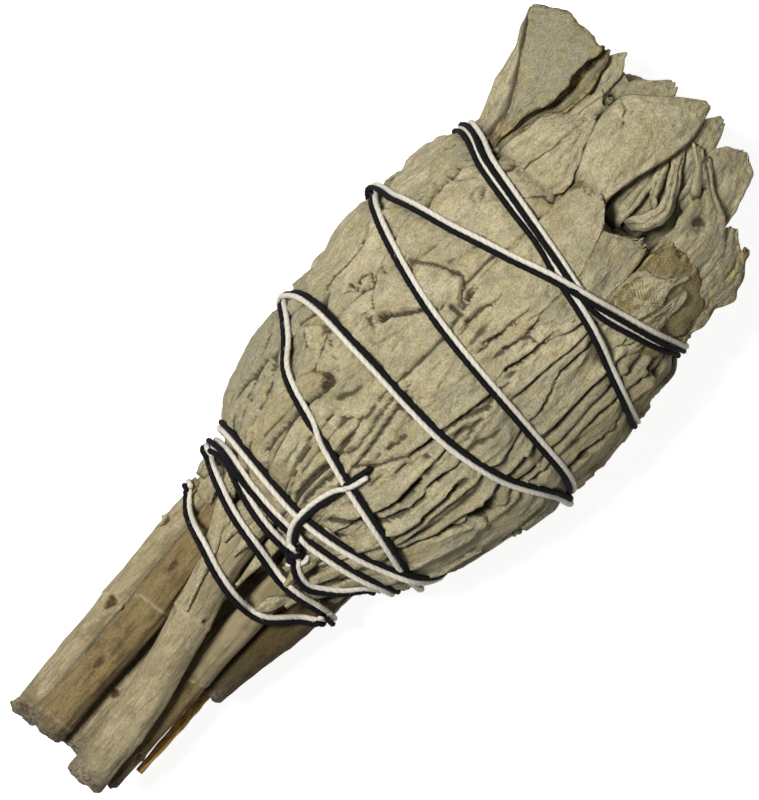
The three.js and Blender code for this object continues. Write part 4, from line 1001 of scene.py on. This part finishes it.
def crown_leaves():
    """The leaves that stand free at the crown: the seen ones by their edges, and the rest in rings."""
    blades = []
    # Angles round the bundle, base and tip as place and share of the width, and half width
    for angles, base, tip, half in [
        ([-2, -31, -60, -89, -118, -147, -172], (13, 0.84), (34, 0.95), 5.8),
        ([-18, -46, -75, -104, -132, -160], (10, 0.88), (28, 1.0), 5.4),
        ([-30, -75, -118, -160], (18, 0.5), (37, 0.7), 4.8),
        ([0, -90, -180], (18, 0.2), (37, 0.3), 4.0),
        ([22, 55, 90, 125, 158], (20, 0.5), (35, 0.5), 4.4),
        ([-45, 45, 135, 225], (19, 0.25), (34, 0.38), 4.0),
    ]:
        for degrees in angles:
            a = math.radians(degrees + draws.uniform(-6, 6))
            rib = []
            for f in (0, 0.5, 1):
                x = base[0] + (tip[0] - base[0]) * f
                share = base[1] + (tip[1] - base[1]) * f + (0.04 if f == 0.5 else 0) + draws.uniform(-0.02, 0.02)
                reach = share * float(half_width(x)) - 0.6
                rib.append((x, math.cos(a) * reach, float(axis_height(x)) + FLATNESS * reach * math.sin(a)))
            rib = [(x, y, max(z, 0.9)) for x, y, z in rib]
            blades.append(free_blade(
                rib, half * draws.uniform(0.85, 1.1), (0.1, math.cos(a), math.sin(a)),
                tint=draws.uniform(-1, 0.6), olive=max(0, draws.uniform(-0.4, 0.35))))
    seen = [traced_blade(low, high, **look) for low, high, look in CROWN]
    level = float(crown_height(32.0, 7.8)) + 0.75
    seen.append(rolled_blade([(27.6, 9.0, level - 1.2), (30.2, 8.7, level), (33.0, 8.0, level)], radius=1.05, tint=0.2))
    return joined("crown_leaves", seen), joined("crown_leaves_round", blades)


def tips_over_body(pile):
    """Leaf ends that lie on the body where it meets the crown, by their edges seen from above."""
    blades = []
    bed = blurred(pile.height, 0.9, 0.9)
    # Lower edge, upper edge, tint, olive, how torn and how ragged
    for low, high, tint, olive, torn, ragged in [
        ([(12, -17.4), (18, -18.2), (22, -17.4), (25.4, -16)], [(12, -9), (20, -8.8), (22.5, -8.6), (25.7, -9.6)],
         -0.4, 1.0, 0.8, 0.3),
        ([(11, -15), (17, -15.6), (20, -15.3), (22.2, -14.8)], [(11, -13), (17, -13.8), (20, -14.3), (22.2, -14.4)],
         0.0, 0.1, 0.3, 0.1),
        ([(10, -13.4), (16, -13), (19, -13.6), (21, -12.9), (23.8, -13.6)],
         [(10, -8), (17, -8.2), (19.5, -8.6), (20.6, -9.4), (22, -11.4), (23.8, -13.1)], 0.2, 0, 0.35, 0.1),
        ([(6, -6.6), (12, -8), (15, -8.4), (18, -8.6), (21, -8.2), (22.8, -7.5)],
         [(6, -3), (15, -4), (18, -3.1), (20.8, -2.4), (21.8, -4.4), (22.9, -6.4)], 0.1, 0, 0.6, 0.3),
        ([(5, -3), (12, -3.8), (15, -4.2), (18, -3.2), (20, -2.5), (21.5, -2), (23, -0.8), (23.7, -0.2)],
         [(5, 5), (12, 4.4), (16, 4), (19, 3.9), (22, 3.8), (23.7, 3.6)], 0.4, 0.05, 0.65, 0.3),
    ]:
        rows, columns = 60, 34
        start, end = max(low[0][0], high[0][0]), min(low[-1][0], high[-1][0])
        s, t = shares_of(rows, columns)
        jag = ragged * (softened_noise(1, columns, 12) + 0.3 * softened_noise(1, columns, 1))
        x = start + (end - start) * s + jag * smooth_step((s - 0.8) / 0.2)
        edges = [np.interp(x, *np.array(edge).T) for edge in (low, high)]
        y = edges[0] * (1 - t) + edges[1] * t
        angle = angle_at(x, y)
        row = np.round(np.clip((x - FIELD_X[0]) / X_STEP, 0, len(FIELD_X) - 1)).astype(int)
        column = np.round(angle / (2 * math.pi) * FIELD_COLUMNS).astype(int) % FIELD_COLUMNS
        height = bed[row, column]
        lift = 0.62 + 0.5 * smooth_step((s - 0.6) / 0.4) * (0.5 + 0.5 * np.sin(5 * t + 2 * tint))
        lift = lift - 1.2 * (1 - smooth_step(s / 0.22))
        edge = np.minimum(t, 1 - t) * (edges[1] - edges[0])
        lift = lift + 0.16 * np.exp(-(edge / 0.6) ** 2)
        crumple = 0.25 * averaged(draws.standard_normal((rows, columns)), 4)
        points = on_bundle(x, angle, height + lift + crumple)
        worn = np.maximum(np.exp(-(edge / 0.35) ** 2), 1.3 * smooth_step((s - 0.9) / 0.06) * np.ones_like(t))
        marks = {"tint": tint, "olive": olive, "torn": torn * worn, "crease_shade": 0.0}
        blades.append(blade_of("tip", points, marks, TIP_WALL))
    return joined("leaf_tips", blades)


# Stems: each one's middle line, radius, rings along it, scars as place, angle in degrees and size, and ridges round it

STEMS = {
    "stem_main": {
        "line": [(-73.2, -0.4, 18.3), (-62, 0.4, 18.6), (-51, 2.6, 19.7), (-42, 4.8, 21.1), (-35, 5.6, 21.3),
                 (-31, 5.6, 20.2)],
        "radius": 2.6, "rings": [-64.5, -48.6], "scars": [(-64.2, -60, 1.1), (-48.2, 130, 0.5)], "ridges": 9,
    },
    "stem_ringed": {
        "line": [(-72, 7.6, 15.5), (-55, 7.6, 15.9), (-42, 8.6, 16), (-35, 8.6, 15.9), (-31, 8.2, 15.6)],
        "radius": 2.45, "rings": [-70, -51.2], "scars": [(-60.8, 72, 1.25), (-45.6, 60, 1.2)], "ridges": 7,
    },
    "stem_upper": {
        "line": [(-72.6, 10.4, 12.2), (-65, 11, 12.1), (-54, 11.6, 12.3), (-42, 12.2, 12.9), (-35, 12.4, 13.4),
                 (-31, 12, 13.6)],
        "radius": 1.98, "rings": [-70.6, -53.3, -41.6],
        "scars": [(-54.4, 75, 1.15), (-42.2, 30, 1.0), (-72.2, 60, 1.5), (-71.8, 170, 1.3)], "ridges": 6,
    },
    "stem_lower": {
        "line": [(-71.5, -2.3, 13.8), (-55, -2.1, 14.7), (-42, -2.2, 16.5), (-35, -2.2, 17.5), (-31, -2, 17.4)],
        "radius": 1.9, "rings": [-54.2], "scars": [(-66.5, 150, 0.9)], "ridges": 7, "pale_from": -54.6,
    },
    "stem_broken": {
        "line": [(-54.6, -4.5, 10.3), (-47, -5.6, 11.5), (-41, -6.8, 12.5), (-35, -7.2, 13.3), (-31, -7.2, 13.4)],
        "radius": 2.3, "rings": [], "scars": [], "ridges": 8,
    },
    "stem_behind": {
        "line": [(-71.4, 3.9, 11.3), (-55, 3.8, 11.1), (-42, 3.6, 11.3), (-35, 3.4, 11.5)],
        "radius": 2.2, "rings": [-60], "scars": [(-62.7, 90, 0.8)], "ridges": 7,
    },
    "stem_side": {
        "line": [(-70.2, 8.8, 8.7), (-55, 9, 9.5), (-42, 8.8, 10.1), (-35, 8.6, 10.3)],
        "radius": 1.8, "rings": [-58], "scars": [(-50, -60, 0.8)], "ridges": 6,
    },
    "stem_under": {
        "line": [(-68.6, 0.4, 7.8), (-55, 0.6, 7.7), (-42, 0.4, 7.9), (-35, 0.3, 8.3)],
        "radius": 1.9, "rings": [-57], "scars": [(-61, -90, 0.9)], "ridges": 7,
    },
}
STALK_LINE = [(-68, -4.9, 11.1), (-60, -4.8, 10.1), (-54, -4.7, 7.3), (-45, -4.6, 8), (-36, -4.6, 9.1)]


def lengthwise_grain(rows, columns):
    """Random relief drawn out along a stem."""
    noise = draws.standard_normal((rows, columns))
    for _ in range(24):
        noise = 0.5 * noise + 0.25 * (np.roll(noise, 1, 0) + np.roll(noise, -1, 0))
    return noise / noise.std()


def stem(name, line, radius, rings, scars, ridges, pale_from=20.0):
    """A dried stem: ridged skin, raised rings where leaves grew, notched scars, and a cut end."""
    rows, columns = 176, 46
    places, along, side, up = swept(line, rows)
    a = angles_round(columns)
    x = places[:, :1]
    phase = draws.uniform(0, 6.3)
    slow = 0.5 * np.sin(x / 9 + phase)
    relief = 0.06 * np.sin(ridges * (a + 0.05 * slow) + phase) + 0.045 * np.sin((2 * ridges + 1) * a + slow)
    relief = relief + 0.05 * lengthwise_grain(rows, columns)
    relief = relief + 0.05 * np.sin(x / 3.1 + phase) + 0.04 * np.sin(2 * a + x / 6)
    ring_mark, scar_mark = np.zeros((rows, columns)), np.zeros((rows, columns))
    for at in rings:
        off = x - at - 0.5 * np.sin(a + phase) - 0.15 * np.sin(3 * a + 2 * phase)
        relief = relief + 0.13 * np.exp(-(off / 0.2) ** 2) + 0.14 * np.exp(-(off / 2.4) ** 2)
        relief = relief - 0.08 * np.exp(-((off + 0.5) / 0.3) ** 2)
        ring_mark = np.maximum(ring_mark, np.exp(-(off / 0.18) ** 2))
    for at, degrees, size in scars:
        turn = wrapped(a - math.radians(degrees))
        ahead = (x - at) / size
        off = np.hypot(ahead / 1.25, turn * radius / (0.75 * size) / np.clip(1.1 + 0.9 * ahead, 0.25, 2))
        relief = relief - 0.55 * size * np.exp(-off ** 4)
        lip = np.exp(-((ahead - 1.15 + 0.5 * (turn * radius / size) ** 2) / 0.3) ** 2)
        lip = lip * (np.abs(turn * radius) < 1.5 * size)
        relief = relief + 0.40 * size * lip
        scar_mark = np.maximum(scar_mark, np.exp(-(off / 0.9) ** 6) * (1 - 0.8 * lip))
    end = np.clip((x - x[0]) / 0.5, 0, 1)
    jag = 0.12 * np.sin(3 * a + phase) + 0.08 * np.sin(7 * a)
    reach = (radius - 0.06) * (0.86 + 0.14 * np.sqrt(end) + 0.03 * (1 - end) * np.sin(5 * a)) + relief
    points = round_line(places, reach, a, side, up)
    points[0] += along[0] * jag[0][:, None]
    face = []
    # Rings of the cut face from the pith outwards, and how deep each is sunk
    for share, deep in ((0, 0.25), (0.16, 0.3), (0.3, 0.08), (0.55, 0.02), (0.78, 0.0), (0.93, 0.0)):
        lumps = 0.06 * draws.standard_normal(columns) if share else 0
        ring = places[0] + (points[0] - places[0]) * share + along[0] * (deep + lumps * np.ones(columns))[:, None]
        face.append(ring)
    last = places[-1] + 0 * points[-1]
    points = np.concatenate([np.stack(face), points, last[None]])
    cut = np.zeros((len(points), columns))
    cut[:len(face)] = 1.0
    near_end = np.exp(-((x - x[0]) / 2.4) ** 2) * (0.6 + 0.4 * draws.uniform(-1, 1, (rows, columns)))
    cut[len(face):-1] = 1.2 * near_end
    marks = {"cut": cut}
    pale = smooth_step((x - pale_from) / 1.2) * np.ones((rows, columns))
    for mark, values in (("ring", ring_mark), ("scar", scar_mark), ("pale", pale)):
        marks[mark] = np.concatenate([np.zeros((len(face), columns)), values, values[-1:]])
    return tube_of("dressed_" + name, points, marks)


def stalk():
    """The dry leaf stalk beside the lower stems, flat and grooved, thinner at its tip."""
    rows, columns = 90, 14
    places, along, side, up = swept(STALK_LINE, rows)
    a = angles_round(columns)
    s = np.linspace(0, 1, rows)[:, None]
    reach = 0.66 * (0.72 + 0.28 * smooth_step(s / 0.25)) * (1 + 0.06 * np.sin(9 * s * 6.3 + 2 * a))
    reach = reach * (1 - 0.22 * np.exp(-((a - math.pi / 2) / 0.4) ** 2))
    points = round_line(places, reach, a, side, up, flat=0.8)
    points = np.concatenate([places[:1, None] + 0 * points[:1], points, places[-1:, None] + 0 * points[:1]])
    return tube_of("dressed_stalk", points)


# The neck

def top_height(shapes, x, y):
    """Height of the highest surface over places seen from above."""
    heights, above = np.zeros(x.size), 60
    for i, (at_x, at_y) in enumerate(zip(x.ravel(), y.ravel())):
        for shape in shapes:
            hit = shape.ray_cast(Vector((at_x, at_y, above)) * MM, Vector((0, 0, -1)))
            if hit[0] is not None:
                heights[i] = max(heights[i], hit[0].z / MM)
    return heights.reshape(x.shape)


def evened(heights, rounds):
    """Heights of a sheet that spans small hollows of its bed."""
    for _ in range(rounds):
        wide = np.pad(heights, 1, mode="edge")
        around = 0.25 * (wide[2:, 1:-1] + wide[:-2, 1:-1] + wide[1:-1, 2:] + wide[1:-1, :-2])
        heights = np.maximum(around, heights - 0.08)
    return heights


# Leaf bases and scraps that lie on the stems, by their edges seen from above
NECK = [
    ([(-48.6, 3.7), (-45, 4.9), (-41, 6.2), (-36, 8.4), (-31, 10.6)],
     [(-48.5, 4.7), (-45, 6.0), (-41, 7.9), (-36, 10.4), (-31, 12.6)], {"olive": 0.3, "tint": 0.6, "swell": 0.7}),
    ([(-42, 1.2), (-38, 1.0), (-34, 0.8), (-29.5, 0.8)], [(-42, 2.2), (-38, 2.4), (-34, 2.5), (-29.5, 2.8)],
     {"olive": 0.1, "tint": 0.6, "swell": 0.5}),
    ([(-39.6, 3.6), (-36, 3.4), (-30, 3.2)], [(-39.4, 5.4), (-36, 5.6), (-30, 6)],
     {"olive": 0.15, "tint": 0.9, "swell": 0.6}),
    ([(-39, 5.9), (-36, 5.8), (-30, 6.2)], [(-39, 7), (-36, 7.8), (-30, 8.8)],
     {"olive": 0.2, "tint": 0.5, "swell": 0.6}),
    ([(-43.6, -2.6), (-41.6, -3.6), (-39, -4.6)], [(-42.4, -1.5), (-40.4, -2.4), (-38.9, -4.2)],
     {"olive": 0.0, "tint": 0.9, "swell": 0.4, "lift": 0.5}),
    ([(-40, -5.4), (-37, -6.2), (-31, -8)], [(-40, -4), (-37, -4.2), (-31, -5.4)],
     {"olive": 0.1, "tint": 0.0, "swell": 0.7}),
    ([(-38, -3.6), (-34, -3.8), (-29, -4.6)], [(-38, -2), (-34, -1.6), (-29, -1.6)],
     {"olive": 0.1, "tint": 0.2, "swell": 0.7}),
    ([(-38.4, 13.2), (-37, 13.4), (-35.6, 13.6)], [(-38.4, 14.2), (-37, 14.6), (-35.6, 14.5)],
     {"olive": 1.0, "tint": 0.0, "swell": 0.4, "torn": 0.9}),
]


def neck_leaves(shapes):
    """Leaf bases gathered round the stems, where the leaves begin."""
    strips, pleats = [], 20
    rows, columns = 44, 13
    s, t = shares_of(rows, columns)
    arch = np.sqrt(np.clip(4 * t * (1 - t), 0, 1)) * np.ones_like(s)
    for k in range(pleats):
        begin, end = -36.5 + draws.uniform(-2.5, 1), -25 + draws.uniform(-1.5, 2)
        middle = 2 * math.pi * (k + draws.uniform(-0.25, 0.25)) / pleats
        x = begin + (end - begin) * s + 0 * t
        half = (0.45 + 1.25 * s ** 0.8) * draws.uniform(0.75, 1.2)
        angle = middle + draws.uniform(-0.12, 0.12) * s + (2 * t - 1) * half / half_width(x)
        lift = surface_lift(shapes, x.ravel(), angle.ravel()).reshape(x.shape)
        lift = evened(np.maximum(lift, np.quantile(lift, 0.6) - 1.5), 6)
        lift = lift + draws.uniform(0.3, 0.7) * arch - 1.5 * smooth_step((s - 0.7) / 0.3)
        lift = lift + 0.07 * softened_noise(rows, columns, 3) - 0.6 * smooth_step(1 - s / 0.12)
        points = on_bundle(x, angle, lift)
        points[..., 2] = np.maximum(points[..., 2], 0.5)
        # Painted shade along each pleat's sides and towards its base, through the crease mark.
        marks = {
            "tint": draws.uniform(-0.8, 0.6), "olive": max(0, draws.uniform(-0.3, 0.4)),
            "torn": 0.5 * smooth_step(1 - s / 0.08),
            "crease_shade": 0.75 * (1 - arch) ** 2 + 0.3 * smooth_step(1 - s / 0.3),
        }
        strips.append(blade_of("pleat", points, marks, PLEAT_WALL))
    for low, high, look in NECK:
        edges = [even_line(edge, rows)[:, None] for edge in (low, high)]
        share = (0.5 + (t - 0.5) * (0.15 + 0.85 * smooth_step(s / 0.45)))[..., None]
        place = edges[0] * (1 - share) + edges[1] * share
        x, y = place[..., 0], place[..., 1]
        top = top_height(shapes, x, y)
        top = np.maximum(top, np.quantile(top, 0.75) - 1.3)
        z = evened(top, 8) + look.get("lift", 0.2) + look["swell"] * arch
        z = z + 0.05 * softened_noise(rows, columns, 2) - 0.3 * smooth_step(1 - s / 0.1)
        # Painted shade along each strip's sides, through the crease mark.
        marks = {
            "tint": look["tint"], "olive": look["olive"], "crease_shade": 0.7 * (1 - arch) ** 3,
            "torn": look.get("torn", 0.15) * smooth_step(1 - arch / 0.5),
        }
        strips.append(blade_of("pleat", np.stack([x, y, z], axis=-1), marks, PLEAT_WALL))
    strips.append(rolled_blade([(-35.0, 14.1, 15.0), (-33, 14.3, 15.3), (-30.4, 14.2, 15.2)], radius=0.85, tint=-0.4))
    return joined("neck_leaves", strips)


# The threads

def surface_lift(shapes, x, angle):
    """How far the outermost surface stands over the outline, at places round the bundle."""
    highest, lowest = 9.0, -6.0
    lifts = np.full(len(x), lowest)
    for i, (start, end) in enumerate(zip(on_bundle(x, angle, highest), on_bundle(x, angle, lowest))):
        heading = Vector(end - start)
        reach = heading.length
        heading.normalize()
        for shape in shapes:
            hit = shape.ray_cast(Vector(start * MM), heading, reach * MM)
            if hit[0] is not None:
                lifts[i] = max(lifts[i], highest - (highest - lowest) * (hit[3] / MM) / reach)
    return lifts


def taut(lift, step, girth):
    """What a taut thread makes of a rough bed: it bridges hollows in straight spans."""
    longest_span = 6
    best = lift.copy()
    for k in range(1, int(longest_span / step)):
        drop = (k * step) ** 2 / (2 * girth)
        best[k:] = np.maximum(best[k:], lift[:-k] - drop)
        best[:-k] = np.maximum(best[:-k], lift[k:] - drop)
    return best


def strand_lines(shapes):
    """Centre lines of the white and the black strand, laid in the order wound."""
    x, angle, flips, turn = ROUTE.T
    here, ahead = on_bundle(x, angle), on_bundle(*(np.append(v[1:], 2 * v[-1] - v[-2]) for v in (x, angle)))
    tangent = unit(ahead - here)
    out = on_bundle(x, angle, 1.0) - here
    side = unit(np.cross(out, tangent))
    beside = 0.5 * STRAND_PITCH * np.cos(math.pi * np.clip(flips, 0, 1))
    span = 17.0
    middle_bed = softened(taut(softened(surface_lift(shapes, x, angle), 2), ROUTE_STEP, span), 2)
    small_turn, sunk = 0.01, 0.08
    turned = on_bundle(x, angle + small_turn) - here
    base, bed = {}, {}
    for colour, hand in (("black", 1), ("white", -1)):
        offset = hand * side * beside[:, None]
        base[colour] = here + offset
        own_angle = angle + small_turn * (offset * turned).sum(axis=1) / (turned ** 2).sum(axis=1)
        own_bed = softened(surface_lift(shapes, x + offset[:, 0], own_angle), 1)
        own_bed = softened(taut(own_bed, ROUTE_STEP, span), 1.5)
        bed[colour] = np.maximum(middle_bed, own_bed) + 0.5 * THREAD_DIAMETER - sunk
    lift = {colour: bed[colour].copy() for colour in bed}
    number = np.clip(np.floor(turn + 0.5), 0, len(TURNS) - 1).astype(int)
    over = np.sqrt(np.clip(THREAD_DIAMETER ** 2 - (2 * beside) ** 2, 0, None))
    nowhere = -9.0
    for k in range(len(TURNS)):
        mine = np.flatnonzero(number == k)
        done = np.flatnonzero(number < k)
        done = done[done < mine[0] - 12]
        for colour in ("black", "white"):
            need = np.full(len(x), nowhere)
            crossed = ("black", "white") if len(done) else ()
            for other in crossed:
                for block in np.array_split(mine, 12):
                    gap = base[colour][block][:, None] - base[other][done][None]
                    apart = np.sqrt((gap ** 2).sum(axis=2))
                    clear = lift[other][done][None] + np.sqrt(np.clip(THREAD_DIAMETER ** 2 - apart ** 2, 0, None))
                    clear = np.where(apart < THREAD_DIAMETER, clear, nowhere)
                    clear = np.minimum(clear, bed[colour][block][:, None] + 1.1 * THREAD_DIAMETER)
                    need[block] = np.maximum(need[block], clear.max(axis=1))
            high = np.maximum(lift[colour], need)
            high = taut(high, ROUTE_STEP, 4.5)
            high = np.maximum(softened(high, 3), need - 0.05)
            lift[colour][mine] = softened(high, 1.5)[mine]
    lift["white"] = np.maximum(lift["white"], softened(np.where(over > 0, lift["black"] + over, nowhere), 2))
    lines = {}
    for colour in ("black", "white"):
        line = base[colour] + out * lift[colour][:, None]
        over_stems = np.isin(number, (1, 2)) * smooth_step((np.sin(angle) - 0.12) / 0.16)
        level = base[colour].copy()
        some = over_stems > 0
        level[some, 2] = top_height(shapes, level[some, 0], level[some, 1])
        level[some, 2] = softened(taut(softened(level[some, 2], 2), ROUTE_STEP, 9.0), 4) + 0.5 * THREAD_DIAMETER
        line = line + (level - line) * over_stems[:, None]
        line[:, 2] = np.maximum(line[:, 2], 0.5 * THREAD_DIAMETER + 0.06)
        for axis in range(3):
            line[:, axis] = softened(line[:, axis], 2.0)
        lines[colour] = line
    return lines


def helix(middle, heading, reach, turns, pitch):
    """A few turns of thread round a line through a place."""
    side = np.cross([0, 0, 1.0], heading)
    side /= np.linalg.norm(side)
    up = np.cross(heading, side)
    a = np.linspace(-math.pi * turns, math.pi * turns, int(16 * turns))[:, None]
    return middle + heading * pitch * a / (2 * math.pi) + reach * (np.sin(a) * side + np.cos(a) * up)


def knot(lines, shapes):
    """The knot at the neck: two turns of black round the pair, and a bight of white beside it."""
    pair = 0.5 * (lines["black"] + lines["white"])
    last_part = len(pair) - 160
    at = np.argmin(np.hypot(pair[last_part:, 0] - KNOT_AT[0], pair[last_part:, 1] - KNOT_AT[1])) + last_part
    heading = pair[at + 3] - pair[at - 3]
    heading /= np.linalg.norm(heading)
    wrap = helix(pair[at], heading, reach=0.95, turns=1.9, pitch=0.8)
    bight = bezier_line([(-35.9, -1.2), (-35.2, -1.9), (-34.2, -2.6), (-33.2, -2.4)], 26)
    heights = top_height(shapes, bight[:, 0], bight[:, 1]) + 0.45
    return wrap, np.column_stack([bight, softened(heights, 3)])


def fuzz(line, count):
    """Loose fibres that stand off a strand: short curved hairs, three-sided and thinned to a point."""
    at = draws.integers(3, len(line) - 3, count)
    along = unit(line[at + 1] - line[at - 1])
    out = unit(np.cross(along, draws.standard_normal((count, 3))))
    side = np.cross(along, out)
    length = draws.uniform(0.3, 0.95, (count, 1))
    lean = along * draws.uniform(-1, 1, (count, 1)) + 0.5 * side * draws.uniform(-1, 1, (count, 1))
    root = line[at] + 0.42 * THREAD_DIAMETER * out
    middle = root + length * (0.25 * out + 0.4 * lean)
    tip = middle + length * (0.12 * out + 0.5 * lean + 0.12 * draws.standard_normal((count, 3)))
    spots = []
    for place, reach in ((root, 0.032), (middle, 0.024)):
        for turn in (0, 2.1, 4.2):
            spots.append(place + reach * (math.cos(turn) * np.cross(lean, out) + math.sin(turn) * out))
    points = np.stack([*spots, tip], axis=1).reshape(-1, 3)
    points[:, 2] = np.maximum(points[:, 2], 0.03)
    sides = [(0, 1, 4, 3), (1, 2, 5, 4), (2, 0, 3, 5), (3, 4, 6), (4, 5, 6), (5, 3, 6), (2, 1, 0)]
    faces = [tuple(7 * k + v for v in face) for k in range(count) for face in sides]
    mesh = bpy.data.meshes.new("fuzz")
    mesh.from_pydata((points * MM).tolist(), [], faces)
    piece = bpy.data.objects.new("fuzz", mesh)
    bpy.context.scene.collection.objects.link(piece)
    return close_up(piece, merge=0.0001)


def strand(name, line):
    """A two-ply twisted cotton strand along a line."""
    columns, pitch = 12, 1.05
    along = unit(np.gradient(line, axis=0))
    across = np.empty_like(line)
    normal = np.cross(along[0], [0, 0, 1.0])
    for i, heading in enumerate(along):
        normal = normal - heading * (normal @ heading)
        normal = normal / np.linalg.norm(normal)
        across[i] = normal
    up = np.cross(along, across)
    travelled = np.concatenate([[0], np.cumsum(np.linalg.norm(np.diff(line, axis=0), axis=1))])[:, None]
    a = angles_round(columns)
    lobe = np.abs(np.cos(a - 2 * math.pi * travelled / (2 * pitch)))
    reach = 0.5 * THREAD_DIAMETER * (0.92 + 0.09 * lobe)
    reach = reach * (1 + 0.05 * draws.standard_normal(reach.shape))
    reach[0] *= 0.5
    reach[-1] *= 0.5
    points = round_line(line, reach, a, across, up)
    ends = [line[:1, None] + 0 * points[:1], line[-1:, None] + 0 * points[:1]]
    # Where the plies dip, for painted shade in the groove.
    groove_shade = np.clip(1 - lobe, 0, 1)
    marks = {"groove_shade": np.concatenate([groove_shade[:1], groove_shade, groove_shade[-1:]])}
    return tube_of(name, np.concatenate([ends[0], points, ends[1]]), marks)


# The stick put together

felt = leaf_finish()
bark = bark_finish("pale_bark", (0.262, 0.22, 0.135), (0.12, 0.095, 0.048), (0.165, 0.138, 0.072))
brown = bark_finish("brown_bark", (0.168, 0.122, 0.055), (0.062, 0.041, 0.015), (0.105, 0.082, 0.032))
# A darker copy of the brown bark: painted shade for the stem that lies low, in shade.
shaded = bark_finish("painted_shade_bark", (0.055, 0.038, 0.013), (0.026, 0.018, 0.007), (0.042, 0.033, 0.012))
dry = stalk_finish()
white_cotton = cotton_finish("white_cotton", (0.60, 0.57, 0.495), (0.38, 0.355, 0.30))
black_cotton = cotton_finish("black_cotton", (0.010, 0.009, 0.0105), (0.003, 0.003, 0.0035))

pile = body_field()
body = leaf_body(pile)
crown, crown_round = crown_leaves()
tips = tips_over_body(pile)
stems = {name: stem(name, **shape) for name, shape in STEMS.items()}
dry_stalk = stalk()

depsgraph = bpy.context.evaluated_depsgraph_get()
shapes = [BVHTree.FromObject(piece, depsgraph) for piece in (body, *stems.values())]
neck = neck_leaves(shapes)
depsgraph.update()
shapes += [BVHTree.FromObject(piece, depsgraph) for piece in (tips, crown, neck)]
lines = strand_lines(shapes)
wrap, bight = knot(lines, shapes)
# The black strand stands out a little further at the free end
white = [strand("strand", lines["white"][:-5]), strand("bight", bight), fuzz(lines["white"], FIBRES)]
white = joined("white_thread", white)
black = [strand("strand", lines["black"]), strand("wrap", wrap), fuzz(lines["black"], FIBRES)]
black = joined("black_thread", black)

for piece in (body, crown, crown_round, tips, neck):
    dress(piece, felt, "leaf")
    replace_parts(piece, "leaf_bunch")
# stem_lower, pale bark by its slot, wears the darker brown finish as painted shade, and stem_broken, brown bark by its
# slot, wears the darker copy of it as painted shade.
skins = {
    "stem_ringed": (brown, "brown_bark"), "stem_side": (brown, "brown_bark"),
    "stem_broken": (shaded, "brown_bark"), "stem_lower": (brown, "bark"),
}
for name, piece in stems.items():
    dress(piece, *skins.get(name, (bark, "bark")))
    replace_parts(piece, name)
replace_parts(dress(dry_stalk, dry, "dry_stalk"), "dry_leaf_stalk")
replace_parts(dress(white, white_cotton, "white_cotton"), "thread_white")
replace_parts(dress(black, black_cotton, "black_cotton"), "thread_black")

# Studio

# The photo: size of a pixel at the stick's middle height, the pixel where x and y are 0, its size, and its turn
PIXEL = 0.125
ORIGIN_AT = (472, 344)
PHOTO_SIZE = (759, 800)
TURN = math.radians(48)
LOOKED_AT_HEIGHT = 18


def floor():
    deselect()
    bpy.ops.mesh.primitive_plane_add(size=3.0, location=(0, 0, 0))
    ground = bpy.context.object
    ground.name = "floor"
    f = Finish("pale_floor", 0.9)
    f.shader.inputs["Emission Color"].default_value = (1, 1, 1, 1)
    f.shader.inputs["Emission Strength"].default_value = 0.9
    ground.data.materials.append(f.done((0.3, 0.3, 0.3)))


def lamp(name, place, size, watts, colour):
    deselect()
    bpy.ops.object.light_add(type="AREA", location=place)
    light = bpy.context.object
    light.name = name
    light.data.size = size
    light.data.energy = watts
    light.data.color = colour
    light.rotation_euler = (Vector((0, 0, 0.02)) - Vector(place)).to_track_quat("-Z", "Y").to_euler()


def camera():
    """Looking straight down, with the stick rising to the right, as in the photo."""
    across, down = ((size / 2 - at) * PIXEL for size, at in zip(PHOTO_SIZE, ORIGIN_AT))
    c, s = math.cos(TURN), math.sin(TURN)
    x, y = across * c - down * s, -across * s - down * c
    made = bpy.data.cameras.new("camera")
    view = bpy.data.objects.new("camera", made)
    bpy.context.scene.collection.objects.link(view)
    made.lens = 360
    distance = made.lens / made.sensor_width * PHOTO_SIZE[1] * PIXEL
    view.location = (x * MM, y * MM, (distance + LOOKED_AT_HEIGHT) * MM)
    view.rotation_euler = (0, 0, -TURN)
    made.clip_end = 20
    bpy.context.scene.camera = view


camera()
floor()
lamp("key", (-0.16, 0.32, 0.94), 0.22, 17, (1.0, 0.985, 0.95))
lamp("fill", (0.3, -0.2, 1.0), 1.0, 0.5, (0.97, 0.98, 1.0))
world = bpy.data.worlds.new("studio")
bpy.context.scene.world = world
world.use_nodes = True
world.node_tree.nodes["Background"].inputs["Color"].default_value = (1, 1, 1, 1)
world.node_tree.nodes["Background"].inputs["Strength"].default_value = 0.105
bpy.context.scene.view_settings.view_transform = "Standard"
